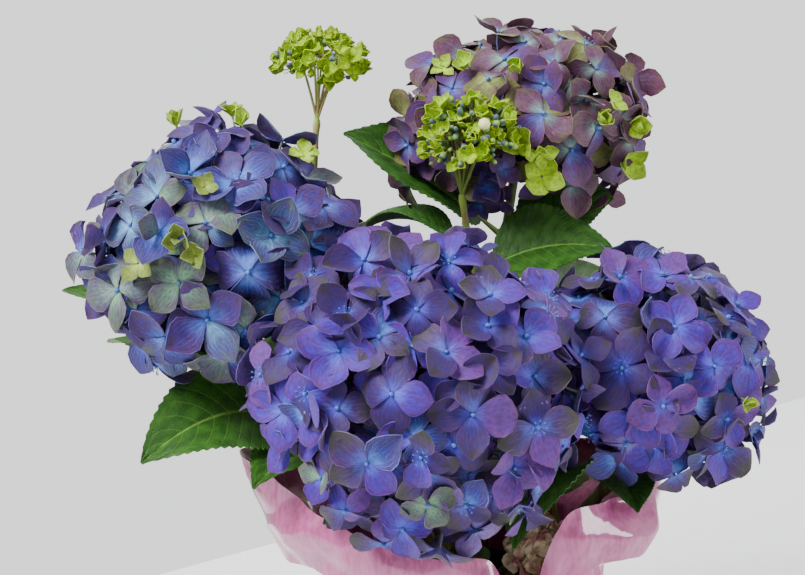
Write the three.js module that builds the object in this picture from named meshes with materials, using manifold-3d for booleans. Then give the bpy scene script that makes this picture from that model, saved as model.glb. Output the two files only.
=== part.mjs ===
// A florist's hydrangea in its pot: short woody crown, green canes, opposite leaves, mophead
// flower heads, two young corymbs, one withered head, and the paper wrap round the pot.
// Millimetres. +X is to the right, +Y away from the viewer, +Z up.
// The origin is the centre of the pot's flat underside.
import * as THREE from 'three';
import { mergeVertices } from 'three/addons/utils/BufferGeometryUtils.js';
import Module from 'manifold-3d';

const wasm = await Module();
wasm.setup();

// Clear space between two solids that rest on each other
const seat = 0.3;

// Pot and soil
const potHeight = 130;
const potTopRadius = 75;
const potFootRadius = 53;
const potWall = 2.5;
const potFloor = 3;
const collarHeight = 20;
const collarStep = 3;
const roundSteps = 40;
const soilTop = 112;
const soilEdgeDrop = 5;
const soilPatRadius = 26;

// Paper wrap: a sheet folded up round the pot, puffed out over the collar and standing up
// round the stems. Each station gives a compass angle, then radius and height at the puffed
// shoulder, then radius and height at the free edge. The slit where the sheet's two sides
// meet is low in front, to the right of the middle.
const wrapThickness = 0.8;
const wrapClear = 0.35;
const wrapFoot = 2;
const wrapNeck = potHeight + 30;
const wrapColumns = 48;
const pleatCount = 12;
const pleatDepth = 3.5;
const pleatFade = 0.1;
const wrapSideRows = [0, 0.25, 0.5, 0.66, 0.84, 1];
const wrapCollarRow = 0.6;
const wrapFlareRows = [0.25, 0.5, 0.75, 1];
const wrapStations = [
  [0, 104, 184, 110, 213.5], [28, 102, 186, 109, 206], [56, 100, 184, 108, 198],
  [90, 98, 182, 106, 192], [124, 100, 184, 108, 198], [152, 103, 186, 113, 206],
  [180, 100, 181, 117, 220], [200, 101, 173, 117, 222], [216, 104, 178, 110, 218],
  [238, 101, 178, 103, 209], [258, 98, 176, 99, 202], [276, 96, 173, 96, 197],
  [288, 84, 162, 86, 166], [299, 94, 180, 92, 214], [318, 101, 186, 97, 217],
  [340, 106, 180, 103, 214],
];

// Crown: the short woody foot that every cane springs from
const crownFlareRadius = 16;
const crownNeckRadius = 8.6;
const crownTopRadius = 7.6;
const crownHeight = 40;
const crownSides = 10;
const crownSteps = 6;
const rootLobes = 5;
const rootLobeShare = 0.16;

// Canes: each leaves the crown at a compass angle and a height, and ends under its head
const caneFootRadius = 4.1;
const caneTipRadius = 2.7;
const caneSides = 7;
const caneSteps = 9;

// Flower heads. The axis runs from the stem up through the head.
const goldenAngle = Math.PI * (3 - Math.sqrt(5));
const coreShare = 0.66;
const headCover = THREE.MathUtils.degToRad(132);
const floretRadius = 20;
const floretNotch = 0.62;
const floretThickness = 2.2;
const floretPitch = 36;
const floretReach = 0.95;
const floretReachSpread = 0.07;
const floretTurnSpread = 0.5;
const floretLean = 0.12;
const floretSizes = [0.9, 0.2];
const stalkRoot = 0.55;
const stalkRadius = 1.2;
const rimPoints = 8;
const footPoints = 3;
const rayRadius = 0.8;
// A floret is left out where it lies this deep in another head, or where one grown by
// these lengths would touch a cane, a leaf or the wrap
const neighbourDepth = 0.9;
const grownSize = 1;
const grownThickness = 1.5;
const grownStalk = 0.6;
const heads = {
  front: { centre: [-28, -78, 279], radii: [92, 74, 84], axis: [-0.14, -0.36, 0.92], seed: 11 },
  left: { centre: [-134, -20, 340], radii: [78, 70, 72], axis: [-0.4, -0.08, 0.91], seed: 23 },
  right: { centre: [101, -22, 277], radii: [69, 62, 66], axis: [0.27, -0.07, 0.96], seed: 37 },
  top: { centre: [35, 50, 403], radii: [72, 62, 57], axis: [0.15, 0.05, 0.98], seed: 41 },
  back: { centre: [-17, 92, 254], radii: [63, 56, 61], axis: [-0.1, 0.42, 0.9], seed: 59 },
};
const stemReach = 0.76;

// Young corymbs: open sprays whose rays spread from a fork
const corymbs = {
  young: { fork: [-2, -2, 367], centre: [-7, -8, 401], radii: [30, 24, 26], rays: 14, seed: 67 },
  bud: { fork: [-82, 42, 402], centre: [-79, 40, 435], radii: [28, 23, 20], rays: 13, seed: 73 },
};
const corymbStem = 15;
const corymbCover = 1.3;
const corymbFloretRadius = 8;
const corymbFloretDepth = 4;
const corymbSizes = [0.85, 0.3];
const corymbReach = 0.8;
const corymbTurnSpread = 0.4;
const corymbLean = 0.4;
const hubShare = 1.6;

const canes = {
  front: { turn: 250, from: 141, tip: headFoot('front'), axis: heads.front.axis },
  left: { turn: 187, from: 130, tip: headFoot('left'), axis: heads.left.axis },
  right: { turn: 342, from: 130, tip: headFoot('right'), axis: heads.right.axis },
  top: { turn: 50, from: 140, tip: headFoot('top'), axis: heads.top.axis },
  back: { turn: 98, from: 130, tip: headFoot('back'), axis: heads.back.axis },
  bud: { turn: 143, from: 141, tip: corymbFoot('bud'), axis: corymbAxis('bud') },
  young: { turn: 20, from: 146, tip: corymbFoot('young'), axis: corymbAxis('young') },
  old: { turn: 292, from: 124, tip: [33, -36, 168], axis: [0.5, -0.5, 0.7] },
};
const caneStartRadius = 3.5;
const caneLeave = { young: 0.05, old: 0.9, others: 0.7 };
const caneHandle = 0.36;

// Withered head on the old cane
const witheredCentre = [41, -46, 181];
const witheredRadius = 13;
const witheredCount = 9;
const witheredCover = 1.6;
const witheredCoreShare = 0.5;
const witheredReaches = [0.75, 0.35];
const witheredSizes = [0.6, 0.25];
const witheredDepth = 4;
const witheredSeed = 83;

// Leaves, one row each: cane, place along it, blade tip, arch of the midrib and roll about it
const leafRows = [
  ['left', 0.88, [-221, 4, 314], 0.03, 0],
  ['left', 0.93, [-46, 30, 322], 0.1, 0],
  ['left', 0.84, [-204, 34, 276], 0.06, 0],
  ['left', 0.68, [-169, -66, 239], 0.2, -34],
  ['left', 0.66, [-132, 82, 258], 0.16, 0],
  ['left', 0.46, [-110, -80, 231], 0.22, -6],
  ['left', 0.5, [-112, 62, 224], 0.16, 0],
  ['right', 0.52, [22, -96, 205], 0.42, 0],
  ['front', 0.78, [-74, -90, 216], 0.1, 0],
  ['front', 0.5, [3, -85, 173], 0.1, 0],
  ['right', 0.88, [88, -70, 214], 0.08, 0],
  ['right', 0.86, [112, 78, 230], 0.16, 0],
  ['right', 0.72, [164, 16, 232], 0.05, 0],
  ['top', 0.88, [-66, 22, 398], 0.04, -30],
  ['top', 0.84, [86, 42, 358], 0.12, 55],
  ['top', 0.62, [112, 78, 292], 0.2, 0],
  ['top', 0.62, [-56, 112, 296], 0.16, 0],
  ['top', 0.4, [92, 88, 214], 0.1, 0],
  ['young', 0.88, [-60, 16, 343], 0.26, 0],
  ['young', 0.84, [80, -4, 339], 0.12, 38],
  ['bud', 0.86, [-152, 92, 350], 0.18, 0],
  ['bud', 0.8, [-34, 98, 314], 0.1, 0],
  ['bud', 0.6, [-118, 118, 262], 0.2, 0],
  ['back', 0.8, [66, 122, 214], 0.08, 0],
  ['back', 0.8, [-94, 118, 216], 0.08, 0],
  ['back', 0.66, [-8, 144, 208], 0.02, 0],
];
const petioleShare = 0.18;
const petioleRadius = 1.7;
const petioleTaper = [1.15, 0.35];
const petioleRun = 0.06;
const bowShare = 0.45;
const bladeRows = 5;
const bladeWidthShare = 0.74;
const bladeThickness = 1.5;
const bladeThinning = 0.6;
const bladeTipHalfWidth = 0.5;
const bladeFold = THREE.MathUtils.degToRad(14);

const plant = new THREE.Group();
const finish = {
  pot: new THREE.MeshStandardMaterial({ color: 0x2b2e2c, roughness: 0.6, metalness: 0 }),
  soil: new THREE.MeshStandardMaterial({ color: 0x3a2b20, roughness: 1, metalness: 0 }),
  wrap: new THREE.MeshStandardMaterial({ color: 0xbd82a4, roughness: 0.45, metalness: 0 }),
  bark: new THREE.MeshStandardMaterial({ color: 0x7d6447, roughness: 0.9, metalness: 0 }),
  cane: new THREE.MeshStandardMaterial({ color: 0x7f8f4c, roughness: 0.7, metalness: 0 }),
  leaf: new THREE.MeshStandardMaterial({ color: 0x35541d, roughness: 0.5, metalness: 0 }),
  bloom: new THREE.MeshStandardMaterial({ color: 0x5a4c98, roughness: 0.75, metalness: 0 }),
  mauve: new THREE.MeshStandardMaterial({ color: 0x6b5670, roughness: 0.75, metalness: 0 }),
  lime: new THREE.MeshStandardMaterial({ color: 0x96ac31, roughness: 0.65, metalness: 0 }),
  withered: new THREE.MeshStandardMaterial({ color: 0x7b5d4c, roughness: 0.95, metalness: 0 }),
};

function headFoot(name) {
  const { centre, radii, axis } = heads[name];
  const reach = stemReach * radii[2];
  return centre.map((value, i) => value - reach * axis[i]);
}

function corymbAxis(name) {
  const { fork, centre } = corymbs[name];
  return vector(centre).sub(vector(fork)).normalize().toArray();
}

function corymbFoot(name) {
  const { fork } = corymbs[name];
  const axis = corymbAxis(name);
  return fork.map((value, i) => value - corymbStem * axis[i]);
}

function vector(values) {
  return new THREE.Vector3(...values);
}

// Repeatable numbers from 0 to 1
function randomFrom(seed) {
  let state = seed;
  return () => {
    state = (state * 1664525 + 1013904223) % 4294967296;
    return state / 4294967296;
  };
}

// A closed three.js geometry as a solid with its faces pointing out
function solidFrom(geometry) {
  const bare = geometry.index ? geometry.clone() : geometry;
  bare.deleteAttribute('normal');
  bare.deleteAttribute('uv');
  const merged = mergeVertices(bare, 1e-4);
  const index = merged.index.array;
  const place = merged.attributes.position;
  const corners = [];
  let volume = 0;
  for (let i = 0; i < index.length; i += 3) {
    const [a, b, c] = index.slice(i, i + 3);
    if (a === b || b === c || c === a) continue;
    corners.push([a, b, c]);
    const [p, q, r] = [a, b, c].map((k) => new THREE.Vector3().fromBufferAttribute(place, k));
    volume += p.dot(q.cross(r));
  }
  const facing = volume < 0 ? corners.map(([a, b, c]) => [a, c, b]) : corners;
  return new wasm.Manifold(new wasm.Mesh({
    numProp: 3,
    vertProperties: Float32Array.from(place.array),
    triVerts: Uint32Array.from(facing.flat()),
  }));
}

function geometryFrom(solid) {
  const { vertProperties, triVerts, numProp } = solid.getMesh();
  const geometry = new THREE.BufferGeometry();
  const places = [];
  for (let i = 0; i < vertProperties.length; i += numProp) {
    places.push(...vertProperties.slice(i, i + 3));
  }
  geometry.setAttribute('position', new THREE.Float32BufferAttribute(places, 3));
  geometry.setIndex(Array.from(triVerts));
  geometry.computeVertexNormals();
  return geometry;
}

// The largest body of a cut solid, so that no scrap is left
function mainBody(solid) {
  const bodies = solid.decompose();
  return bodies.reduce((best, body) => (body.volume() > best.volume() ? body : best));
}

function add(name, solid, material) {
  const mesh = new THREE.Mesh(geometryFrom(solid), material);
  mesh.name = name;
  plant.add(mesh);
  return solid;
}

// A solid from its points and the corners of its triangles
function skin(points, corners) {
  const geometry = new THREE.BufferGeometry();
  const places = points.flatMap((point) => point.toArray());
  geometry.setAttribute('position', new THREE.Float32BufferAttribute(places, 3));
  geometry.setIndex(corners);
  return solidFrom(geometry);
}

// A solid skinned over rings that have the same number of points each
function loft(rings) {
  const count = rings[0].length;
  const faces = [];
  for (let row = 0; row + 1 < rings.length; row += 1) {
    for (let k = 0; k < count; k += 1) {
      const a = row * count + k;
      const b = row * count + (k + 1) % count;
      faces.push(a, b, b + count, a, b + count, a + count);
    }
  }
  const last = (rings.length - 1) * count;
  for (let k = 1; k + 1 < count; k += 1) {
    faces.push(0, k + 1, k, last, last + k, last + k + 1);
  }
  return skin(rings.flat(), faces);
}

// A limb along a curve, its radius given at each place from 0 to 1
function limb(curve, steps, sides, radiusAt) {
  const frames = curve.computeFrenetFrames(steps, false);
  const rings = [];
  for (let i = 0; i <= steps; i += 1) {
    const centre = curve.getPointAt(i / steps);
    const ring = [];
    for (let k = 0; k < sides; k += 1) {
      const angle = (2 * Math.PI * k) / sides;
      const radius = radiusAt(i / steps, angle);
      ring.push(centre.clone()
        .addScaledVector(frames.normals[i], radius * Math.cos(angle))
        .addScaledVector(frames.binormals[i], radius * Math.sin(angle)));
    }
    rings.push(ring);
  }
  return loft(rings);
}

function turned(profile) {
  const points = profile.map(([radius, height]) => new THREE.Vector2(radius, height));
  const geometry = new THREE.LatheGeometry(points, roundSteps);
  geometry.rotateX(Math.PI / 2);
  return solidFrom(geometry);
}

// The pot: tapered wall, flat floor, stepped collar
const bodyTopRadius = potTopRadius - collarStep;
const collarFoot = potHeight - collarHeight;

function potRadiusAt(height) {
  if (height >= collarFoot) return potTopRadius;
  return THREE.MathUtils.lerp(potFootRadius, bodyTopRadius, height / collarFoot);
}

add('pot', turned([
  [0, 0],
  [potFootRadius, 0],
  [bodyTopRadius, collarFoot],
  [potTopRadius, collarFoot],
  [potTopRadius, potHeight],
  [potTopRadius - potWall, potHeight],
  [bodyTopRadius - potWall, collarFoot],
  [potFootRadius - potWall, potFloor],
  [0, potFloor],
]), finish.pot);

// The soil fills the pot to just under the collar
const soilEdge = soilTop - soilEdgeDrop;
const soilFoot = potFloor + seat;
add('soil', turned([
  [0, soilFoot],
  [potFootRadius - potWall - seat, soilFoot],
  [potRadiusAt(soilEdge) - potWall - 2 * seat, soilEdge],
  [soilPatRadius, soilTop],
  [0, soilTop],
]), finish.soil);

// The wrap: close pleats round the pot, then the puffed shoulder, then the free edge
function wrapGuide(radiusColumn, heightColumn) {
  const points = wrapStations.map((station) => {
    const angle = THREE.MathUtils.degToRad(station[0]);
    const radius = station[radiusColumn];
    return new THREE.Vector3(radius * Math.cos(angle), radius * Math.sin(angle), station[heightColumn]);
  });
  return new THREE.CatmullRomCurve3(points, true, 'catmullrom', 0.5);
}

const wrapShoulder = wrapGuide(1, 2);
const wrapEdge = wrapGuide(3, 4);

function wrapRing(row) {
  const ring = [];
  for (let k = 0; k < wrapColumns; k += 1) {
    const shoulder = wrapShoulder.getPoint(k / wrapColumns);
    const angle = Math.atan2(shoulder.y, shoulder.x);
    const round = (radius, height) => (
      new THREE.Vector3(radius * Math.cos(angle), radius * Math.sin(angle), height)
    );
    if (row <= 1) {
      const height = THREE.MathUtils.lerp(wrapFoot, wrapNeck, row);
      const hug = row > wrapCollarRow ? potTopRadius : potRadiusAt(height);
      const fade = Math.sin(Math.PI * THREE.MathUtils.lerp(pleatFade, 1 - pleatFade, row));
      const pleat = pleatDepth * fade * (1 - Math.cos(pleatCount * angle)) / 2;
      ring.push(round(hug + wrapClear + wrapThickness + pleat, height));
    } else if (row <= 1.5) {
      const neck = round(potTopRadius + wrapClear + wrapThickness, wrapNeck);
      ring.push(neck.lerp(shoulder, 2 * row - 2));
    } else {
      ring.push(shoulder.clone().lerp(wrapEdge.getPoint(k / wrapColumns), 2 * row - 3));
    }
  }
  return ring;
}

function paperWrap() {
  const rows = [...wrapSideRows, ...wrapFlareRows.map((rise) => 1 + rise)];
  const outer = rows.map(wrapRing);
  const inner = outer.map((ring) => ring.map((point) => {
    const radius = Math.hypot(point.x, point.y);
    const share = (radius - wrapThickness) / radius;
    return new THREE.Vector3(point.x * share, point.y * share, point.z);
  }));
  const shell = [...outer, ...inner.reverse()];
  const faces = [];
  for (let row = 0; row < shell.length; row += 1) {
    const next = (row + 1) % shell.length;
    for (let k = 0; k < wrapColumns; k += 1) {
      const right = (k + 1) % wrapColumns;
      const [a, b] = [row * wrapColumns + k, row * wrapColumns + right];
      const [c, d] = [next * wrapColumns + right, next * wrapColumns + k];
      faces.push(a, b, c, a, c, d);
    }
  }
  return skin(shell.flat(), faces);
}

const blockers = [add('paper_wrap', paperWrap(), finish.wrap)];

// The crown: lobed root flare on the soil, narrowing to its fork
function crown(extra) {
  const foot = soilTop + seat - extra;
  const line = new THREE.LineCurve3(
    new THREE.Vector3(0, 0, foot),
    new THREE.Vector3(0, 0, soilTop + crownHeight + extra),
  );
  return limb(line, crownSteps, crownSides, (t, angle) => {
    const flare = (crownFlareRadius - crownNeckRadius) * (1 - t) ** 4;
    const lobe = 1 + rootLobeShare * (1 - t) ** 2 * Math.cos(rootLobes * angle);
    return extra + THREE.MathUtils.lerp(crownNeckRadius, crownTopRadius, t) + flare * lobe;
  });
}

add('crown', crown(0), finish.bark);
const crownRoom = crown(seat);

// A cane's centre line: out of the crown, then up into the axis of its head
function caneCurve(name) {
  const { turn, from, tip, axis } = canes[name];
  const angle = THREE.MathUtils.degToRad(turn);
  const outward = new THREE.Vector3(Math.cos(angle), Math.sin(angle), 0);
  const lean = caneLeave[name] ?? caneLeave.others;
  const start = outward.clone().multiplyScalar(caneStartRadius).setZ(from);
  const end = vector(tip);
  const handle = caneHandle * start.distanceTo(end);
  const leave = outward.clone().multiplyScalar(lean).setZ(Math.sqrt(1 - lean * lean));
  return new THREE.CubicBezierCurve3(
    start,
    start.clone().addScaledVector(leave, handle),
    end.clone().addScaledVector(vector(axis).normalize(), -handle),
    end,
  );
}

function cane(name, extra) {
  return limb(caneCurve(name), caneSteps, caneSides, (t) => (
    extra + THREE.MathUtils.lerp(caneFootRadius, caneTipRadius, t)
  ));
}

const caneRoom = {};
for (const name of Object.keys(canes)) {
  add(`cane_${name}`, mainBody(cane(name, 0).subtract(crownRoom)), finish.cane);
  caneRoom[name] = cane(name, seat);
  blockers.push(caneRoom[name]);
}

// A leaf: petiole off the cane, then a folded blade along the arched midrib
function leaf([caneName, along, tip, arch, roll]) {
  const base = caneCurve(caneName).getPointAt(along);
  const end = vector(tip);
  const length = base.distanceTo(end);
  const bow = base.clone().lerp(end, bowShare);
  bow.z += 2 * arch * length;
  const midrib = new THREE.QuadraticBezierCurve3(base, bow, end);
  const petiole = limb(
    new THREE.QuadraticBezierCurve3(
      base,
      base.clone().lerp(bow, petioleShare),
      midrib.getPoint(petioleShare + petioleRun),
    ),
    2, 4, (t) => petioleRadius * (petioleTaper[0] - petioleTaper[1] * t),
  );
  const bladeLength = length * (1 - petioleShare);
  const rings = [];
  for (let i = 0; i <= bladeRows; i += 1) {
    const share = i / bladeRows;
    const at = petioleShare + (1 - petioleShare) * share;
    const centre = midrib.getPoint(at);
    const forward = midrib.getTangent(at);
    const side = new THREE.Vector3(0, 0, 1).cross(forward).normalize();
    side.applyAxisAngle(forward, THREE.MathUtils.degToRad(roll));
    const up = forward.clone().cross(side).normalize();
    const half = Math.max(bladeTipHalfWidth, bladeHalfWidth(share) * bladeLength);
    const lift = half * Math.tan(bladeFold);
    const thick = bladeThickness * (1 - bladeThinning * share) / 2;
    rings.push([
      centre.clone().addScaledVector(side, half).addScaledVector(up, lift),
      centre.clone().addScaledVector(up, thick),
      centre.clone().addScaledVector(side, -half).addScaledVector(up, lift),
      centre.clone().addScaledVector(up, -thick),
    ]);
  }
  return loft(rings).add(petiole);
}

// Half the blade's width as a share of its length: rounded base, widest low, drawn-out tip
function bladeHalfWidth(share) {
  const body = Math.sin(Math.PI * share ** 0.72) ** 0.8;
  return 0.5 * bladeWidthShare * body * (1 - 0.25 * share ** 4);
}

leafRows.forEach((row, i) => {
  const solid = mainBody(leaf(row).subtract(caneRoom[row[0]]));
  add(`leaf_${String(i + 1).padStart(2, '0')}`, solid, finish.leaf);
  blockers.push(solid);
});

// A floret: a thin four-lobed star whose underside draws in to a three-sided stalk
function floret(centre, normal, spin, radius, root, thickness, stalk) {
  const side = new THREE.Vector3(0, 0, 1).cross(normal);
  if (side.length() < 0.1) side.set(1, 0, 0);
  side.normalize();
  const across = normal.clone().cross(side);
  const around = (middle, angle, reach) => middle.clone()
    .addScaledVector(side, reach * Math.cos(angle))
    .addScaledVector(across, reach * Math.sin(angle));
  const keel = centre.clone().addScaledVector(normal, -thickness);
  const places = [];
  for (let k = 0; k < rimPoints; k += 1) {
    const reach = radius * (k % 2 === 0 ? 1 : floretNotch);
    places.push(around(centre, spin + (2 * Math.PI * k) / rimPoints, reach));
  }
  places.push(centre.clone().addScaledVector(normal, 0.3 * thickness));
  for (const middle of [keel, root]) {
    for (let j = 0; j < footPoints; j += 1) {
      places.push(around(middle, spin + (2 * Math.PI * j) / footPoints, stalk));
    }
  }
  const peak = rimPoints;
  const top = rimPoints + 1;
  const foot = top + footPoints;
  const faces = [foot, foot + 2, foot + 1];
  for (let k = 0; k < rimPoints; k += 1) {
    const next = (k + 1) % rimPoints;
    const from = Math.floor((k * footPoints) / rimPoints);
    const to = Math.floor((next * footPoints) / rimPoints);
    faces.push(k, next, peak, next, k, top + from);
    if (from !== to) faces.push(next, top + from, top + to);
  }
  for (let j = 0; j < footPoints; j += 1) {
    const next = (j + 1) % footPoints;
    faces.push(top + j, foot + next, top + next, top + j, foot + j, foot + next);
  }
  return skin(places, faces);
}

function touches(solid, others) {
  return others.some((other) => !solid.intersect(other).isEmpty());
}

// How deep a point lies in a head, 1 on its outer surface and 0 at its centre
function depthIn(point, { centre, radii }) {
  return Math.hypot(...point.toArray().map((value, i) => (value - centre[i]) / radii[i]));
}

// A young corymb: rays from the fork, cupped florets outside and round buds between
function corymb(name) {
  const { fork, centre, radii, rays, seed } = corymbs[name];
  const random = randomFrom(seed);
  const axis = vector(corymbAxis(name));
  const middle = vector(centre);
  const forkPoint = vector(fork);
  const toAxis = new THREE.Quaternion().setFromUnitVectors(new THREE.Vector3(0, 0, 1), axis);
  const foot = vector(corymbFoot(name)).addScaledVector(axis, seat);
  const stem = limb(
    new THREE.LineCurve3(foot, forkPoint),
    1, caneSides, () => caneTipRadius,
  );
  const hub = new THREE.IcosahedronGeometry(caneTipRadius * hubShare, 0);
  hub.translate(...fork);
  const pieces = [stem, solidFrom(hub)];
  for (let i = 0; i < rays; i += 1) {
    const height = 1 - corymbCover * ((i + 0.5) / rays);
    const round = Math.sqrt(1 - height * height);
    const turn = i * goldenAngle + corymbTurnSpread * random();
    const direction = new THREE.Vector3(round * Math.cos(turn), round * Math.sin(turn), height);
    direction.applyQuaternion(toAxis);
    const scaled = direction.clone().multiply(vector(radii)).multiplyScalar(corymbReach);
    const place = middle.clone().add(scaled);
    const normal = direction.clone().lerp(axis, corymbLean).normalize();
    const size = corymbFloretRadius * (corymbSizes[0] + corymbSizes[1] * random());
    pieces.push(floret(place, normal, random(), size, forkPoint, corymbFloretDepth, rayRadius));
  }
  return wasm.Manifold.union(pieces);
}

for (const name of Object.keys(corymbs)) {
  blockers.push(add(`corymb_${name}`, corymb(name), finish.lime));
}

// A flower head: a core, and florets spread evenly over all but its underside
function flowerHead(name) {
  const { centre, radii, axis, seed } = heads[name];
  const random = randomFrom(seed);
  const middle = vector(centre);
  const up = vector(axis).normalize();
  const toAxis = new THREE.Quaternion().setFromUnitVectors(new THREE.Vector3(0, 0, 1), up);
  const ball = new THREE.IcosahedronGeometry(1, 1);
  ball.scale(...radii.map((radius) => radius * coreShare));
  ball.translate(...centre);
  const foot = vector(headFoot(name)).addScaledVector(up, seat);
  const stem = limb(
    new THREE.LineCurve3(foot, middle),
    1, caneSides, () => caneTipRadius,
  );
  const pieces = [solidFrom(ball).add(stem)];
  const meanRadius = Math.cbrt(radii[0] * radii[1] * radii[2]);
  const capArea = 2 * Math.PI * meanRadius ** 2 * (1 - Math.cos(headCover));
  const count = Math.round(capArea / floretPitch ** 2);
  const neighbours = Object.keys(heads)
    .filter((other) => other !== name)
    .map((other) => heads[other]);
  for (let i = 0; i < count; i += 1) {
    const height = 1 - (1 - Math.cos(headCover)) * ((i + 0.5) / count);
    const round = Math.sqrt(1 - height * height);
    const turn = i * goldenAngle + floretTurnSpread * (random() - 0.5);
    const direction = new THREE.Vector3(round * Math.cos(turn), round * Math.sin(turn), height);
    direction.applyQuaternion(toAxis);
    const reach = floretReach - floretReachSpread * random();
    const scaled = direction.clone().multiply(vector(radii)).multiplyScalar(reach);
    const place = middle.clone().add(scaled);
    const normal = direction.clone().divide(vector(radii)).normalize();
    normal.lerp(up, floretLean).normalize();
    const spin = random() * Math.PI * 0.5;
    const size = floretRadius * (floretSizes[0] + floretSizes[1] * random());
    const root = middle.clone().addScaledVector(scaled, stalkRoot);
    if (neighbours.some((other) => depthIn(place, other) < neighbourDepth)) continue;
    const grown = floret(
      place, normal, spin, size + grownSize, root,
      floretThickness + grownThickness, stalkRadius + grownStalk,
    );
    if (touches(grown, blockers)) continue;
    pieces.push(floret(place, normal, spin, size, root, floretThickness, stalkRadius));
  }
  const head = wasm.Manifold.union(pieces);
  blockers.push(head);
  return head;
}

for (const name of Object.keys(heads)) {
  add(`head_${name}`, flowerHead(name), name === 'top' ? finish.mauve : finish.bloom);
}

// The withered head: crumpled small florets bunched on a short stalk
function witheredHead() {
  const random = randomFrom(witheredSeed);
  const middle = vector(witheredCentre);
  const axis = vector(canes.old.axis).normalize();
  const foot = vector(canes.old.tip).addScaledVector(axis, seat);
  const stem = limb(new THREE.LineCurve3(foot, middle), 1, caneSides, () => caneTipRadius);
  const ball = new THREE.IcosahedronGeometry(witheredRadius * witheredCoreShare, 1);
  ball.translate(...witheredCentre);
  const pieces = [stem, solidFrom(ball)];
  for (let i = 0; i < witheredCount; i += 1) {
    const height = 1 - witheredCover * ((i + 0.5) / witheredCount);
    const round = Math.sqrt(1 - height * height);
    const turn = i * goldenAngle;
    const direction = new THREE.Vector3(round * Math.cos(turn), round * Math.sin(turn), height);
    const reach = witheredRadius * (witheredReaches[0] + witheredReaches[1] * random());
    const place = middle.clone().addScaledVector(direction, reach);
    const size = witheredRadius * (witheredSizes[0] + witheredSizes[1] * random());
    pieces.push(floret(place, direction, random(), size, middle, witheredDepth, rayRadius));
  }
  return wasm.Manifold.union(pieces);
}

add('withered_head', witheredHead(), finish.withered);

export default plant;
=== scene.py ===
import math

import bmesh
import bpy
import numpy as np
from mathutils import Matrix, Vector, noise
from mathutils.bvhtree import BVHTree


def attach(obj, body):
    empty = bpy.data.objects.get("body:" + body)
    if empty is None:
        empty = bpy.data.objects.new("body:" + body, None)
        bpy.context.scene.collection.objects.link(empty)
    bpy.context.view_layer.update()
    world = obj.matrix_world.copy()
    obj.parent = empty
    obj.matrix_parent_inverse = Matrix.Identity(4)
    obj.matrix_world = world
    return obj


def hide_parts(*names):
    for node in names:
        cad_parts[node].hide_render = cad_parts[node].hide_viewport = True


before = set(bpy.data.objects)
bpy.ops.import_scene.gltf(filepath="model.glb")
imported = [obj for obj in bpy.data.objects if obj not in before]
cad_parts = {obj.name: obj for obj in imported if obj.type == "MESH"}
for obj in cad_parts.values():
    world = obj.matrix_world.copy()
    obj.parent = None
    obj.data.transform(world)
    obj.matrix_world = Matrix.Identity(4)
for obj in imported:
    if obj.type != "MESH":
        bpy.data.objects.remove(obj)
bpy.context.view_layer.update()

# Camera and light. The view looks down on the plant from a little above its middle, in a
# soft daylight that comes mostly from above and from the left.
view_middle = Vector((-0.034, 0.0, 0.316))
view_distance = 0.8
look_down = math.radians(14)
frame_width, frame_height, frame_focal = 805, 575, 1461
view_back = Vector((0, -math.cos(look_down), math.sin(look_down)))
bpy.ops.object.camera_add(
    location=view_middle + view_distance * view_back,
    rotation=(math.pi / 2 - look_down, 0, 0),
)
camera = bpy.context.object
camera.name = "camera"
camera.data.sensor_width = 36
camera.data.lens = camera.data.sensor_width * frame_focal / frame_width
bpy.context.scene.camera = camera

for lamp_name, place, across, watts in (
    ("light_above_left", (-0.85, -0.55, 1.45), 0.7, 52),
    ("light_right", (1.47, -0.21, 0.74), 0.55, 15),
    ("light_behind", (0.2, 1.3, 1.2), 1.0, 14),
):
    bpy.ops.object.light_add(type="AREA", location=place)
    lamp = bpy.context.object
    lamp.name = lamp_name
    lamp.data.size = across
    lamp.data.energy = watts
    lamp.rotation_euler = (view_middle - Vector(place)).to_track_quat("-Z", "Y").to_euler()

# The wall behind is as bright as in a lit room, and throws less light than it shows
wall_seen, wall_thrown = 1.5, 0.76
world = bpy.data.worlds.new("pale_wall")
world.use_nodes = True
wall = world.node_tree.nodes["Background"]
wall.inputs["Color"].default_value = (0.97, 0.985, 0.98, 1)
seen = world.node_tree.nodes.new("ShaderNodeLightPath")
level = world.node_tree.nodes.new("ShaderNodeMapRange")
level.inputs["To Min"].default_value, level.inputs["To Max"].default_value = wall_thrown, wall_seen
world.node_tree.links.new(seen.outputs["Is Camera Ray"], level.inputs["Value"])
world.node_tree.links.new(level.outputs[0], wall.inputs["Strength"])
bpy.context.scene.world = world


# The stage: a smooth white table top that the pot stands on. Its far edge crosses the view
# on a slant behind the plant.
def linear(colour):
    """A screen colour of 0 to 255 a channel, as Blender's linear colour."""
    parts = [value / 255 for value in colour]
    return tuple(p / 12.92 if p <= 0.04045 else ((p + 0.055) / 1.055) ** 2.4 for p in parts) + (1.0,)


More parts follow.
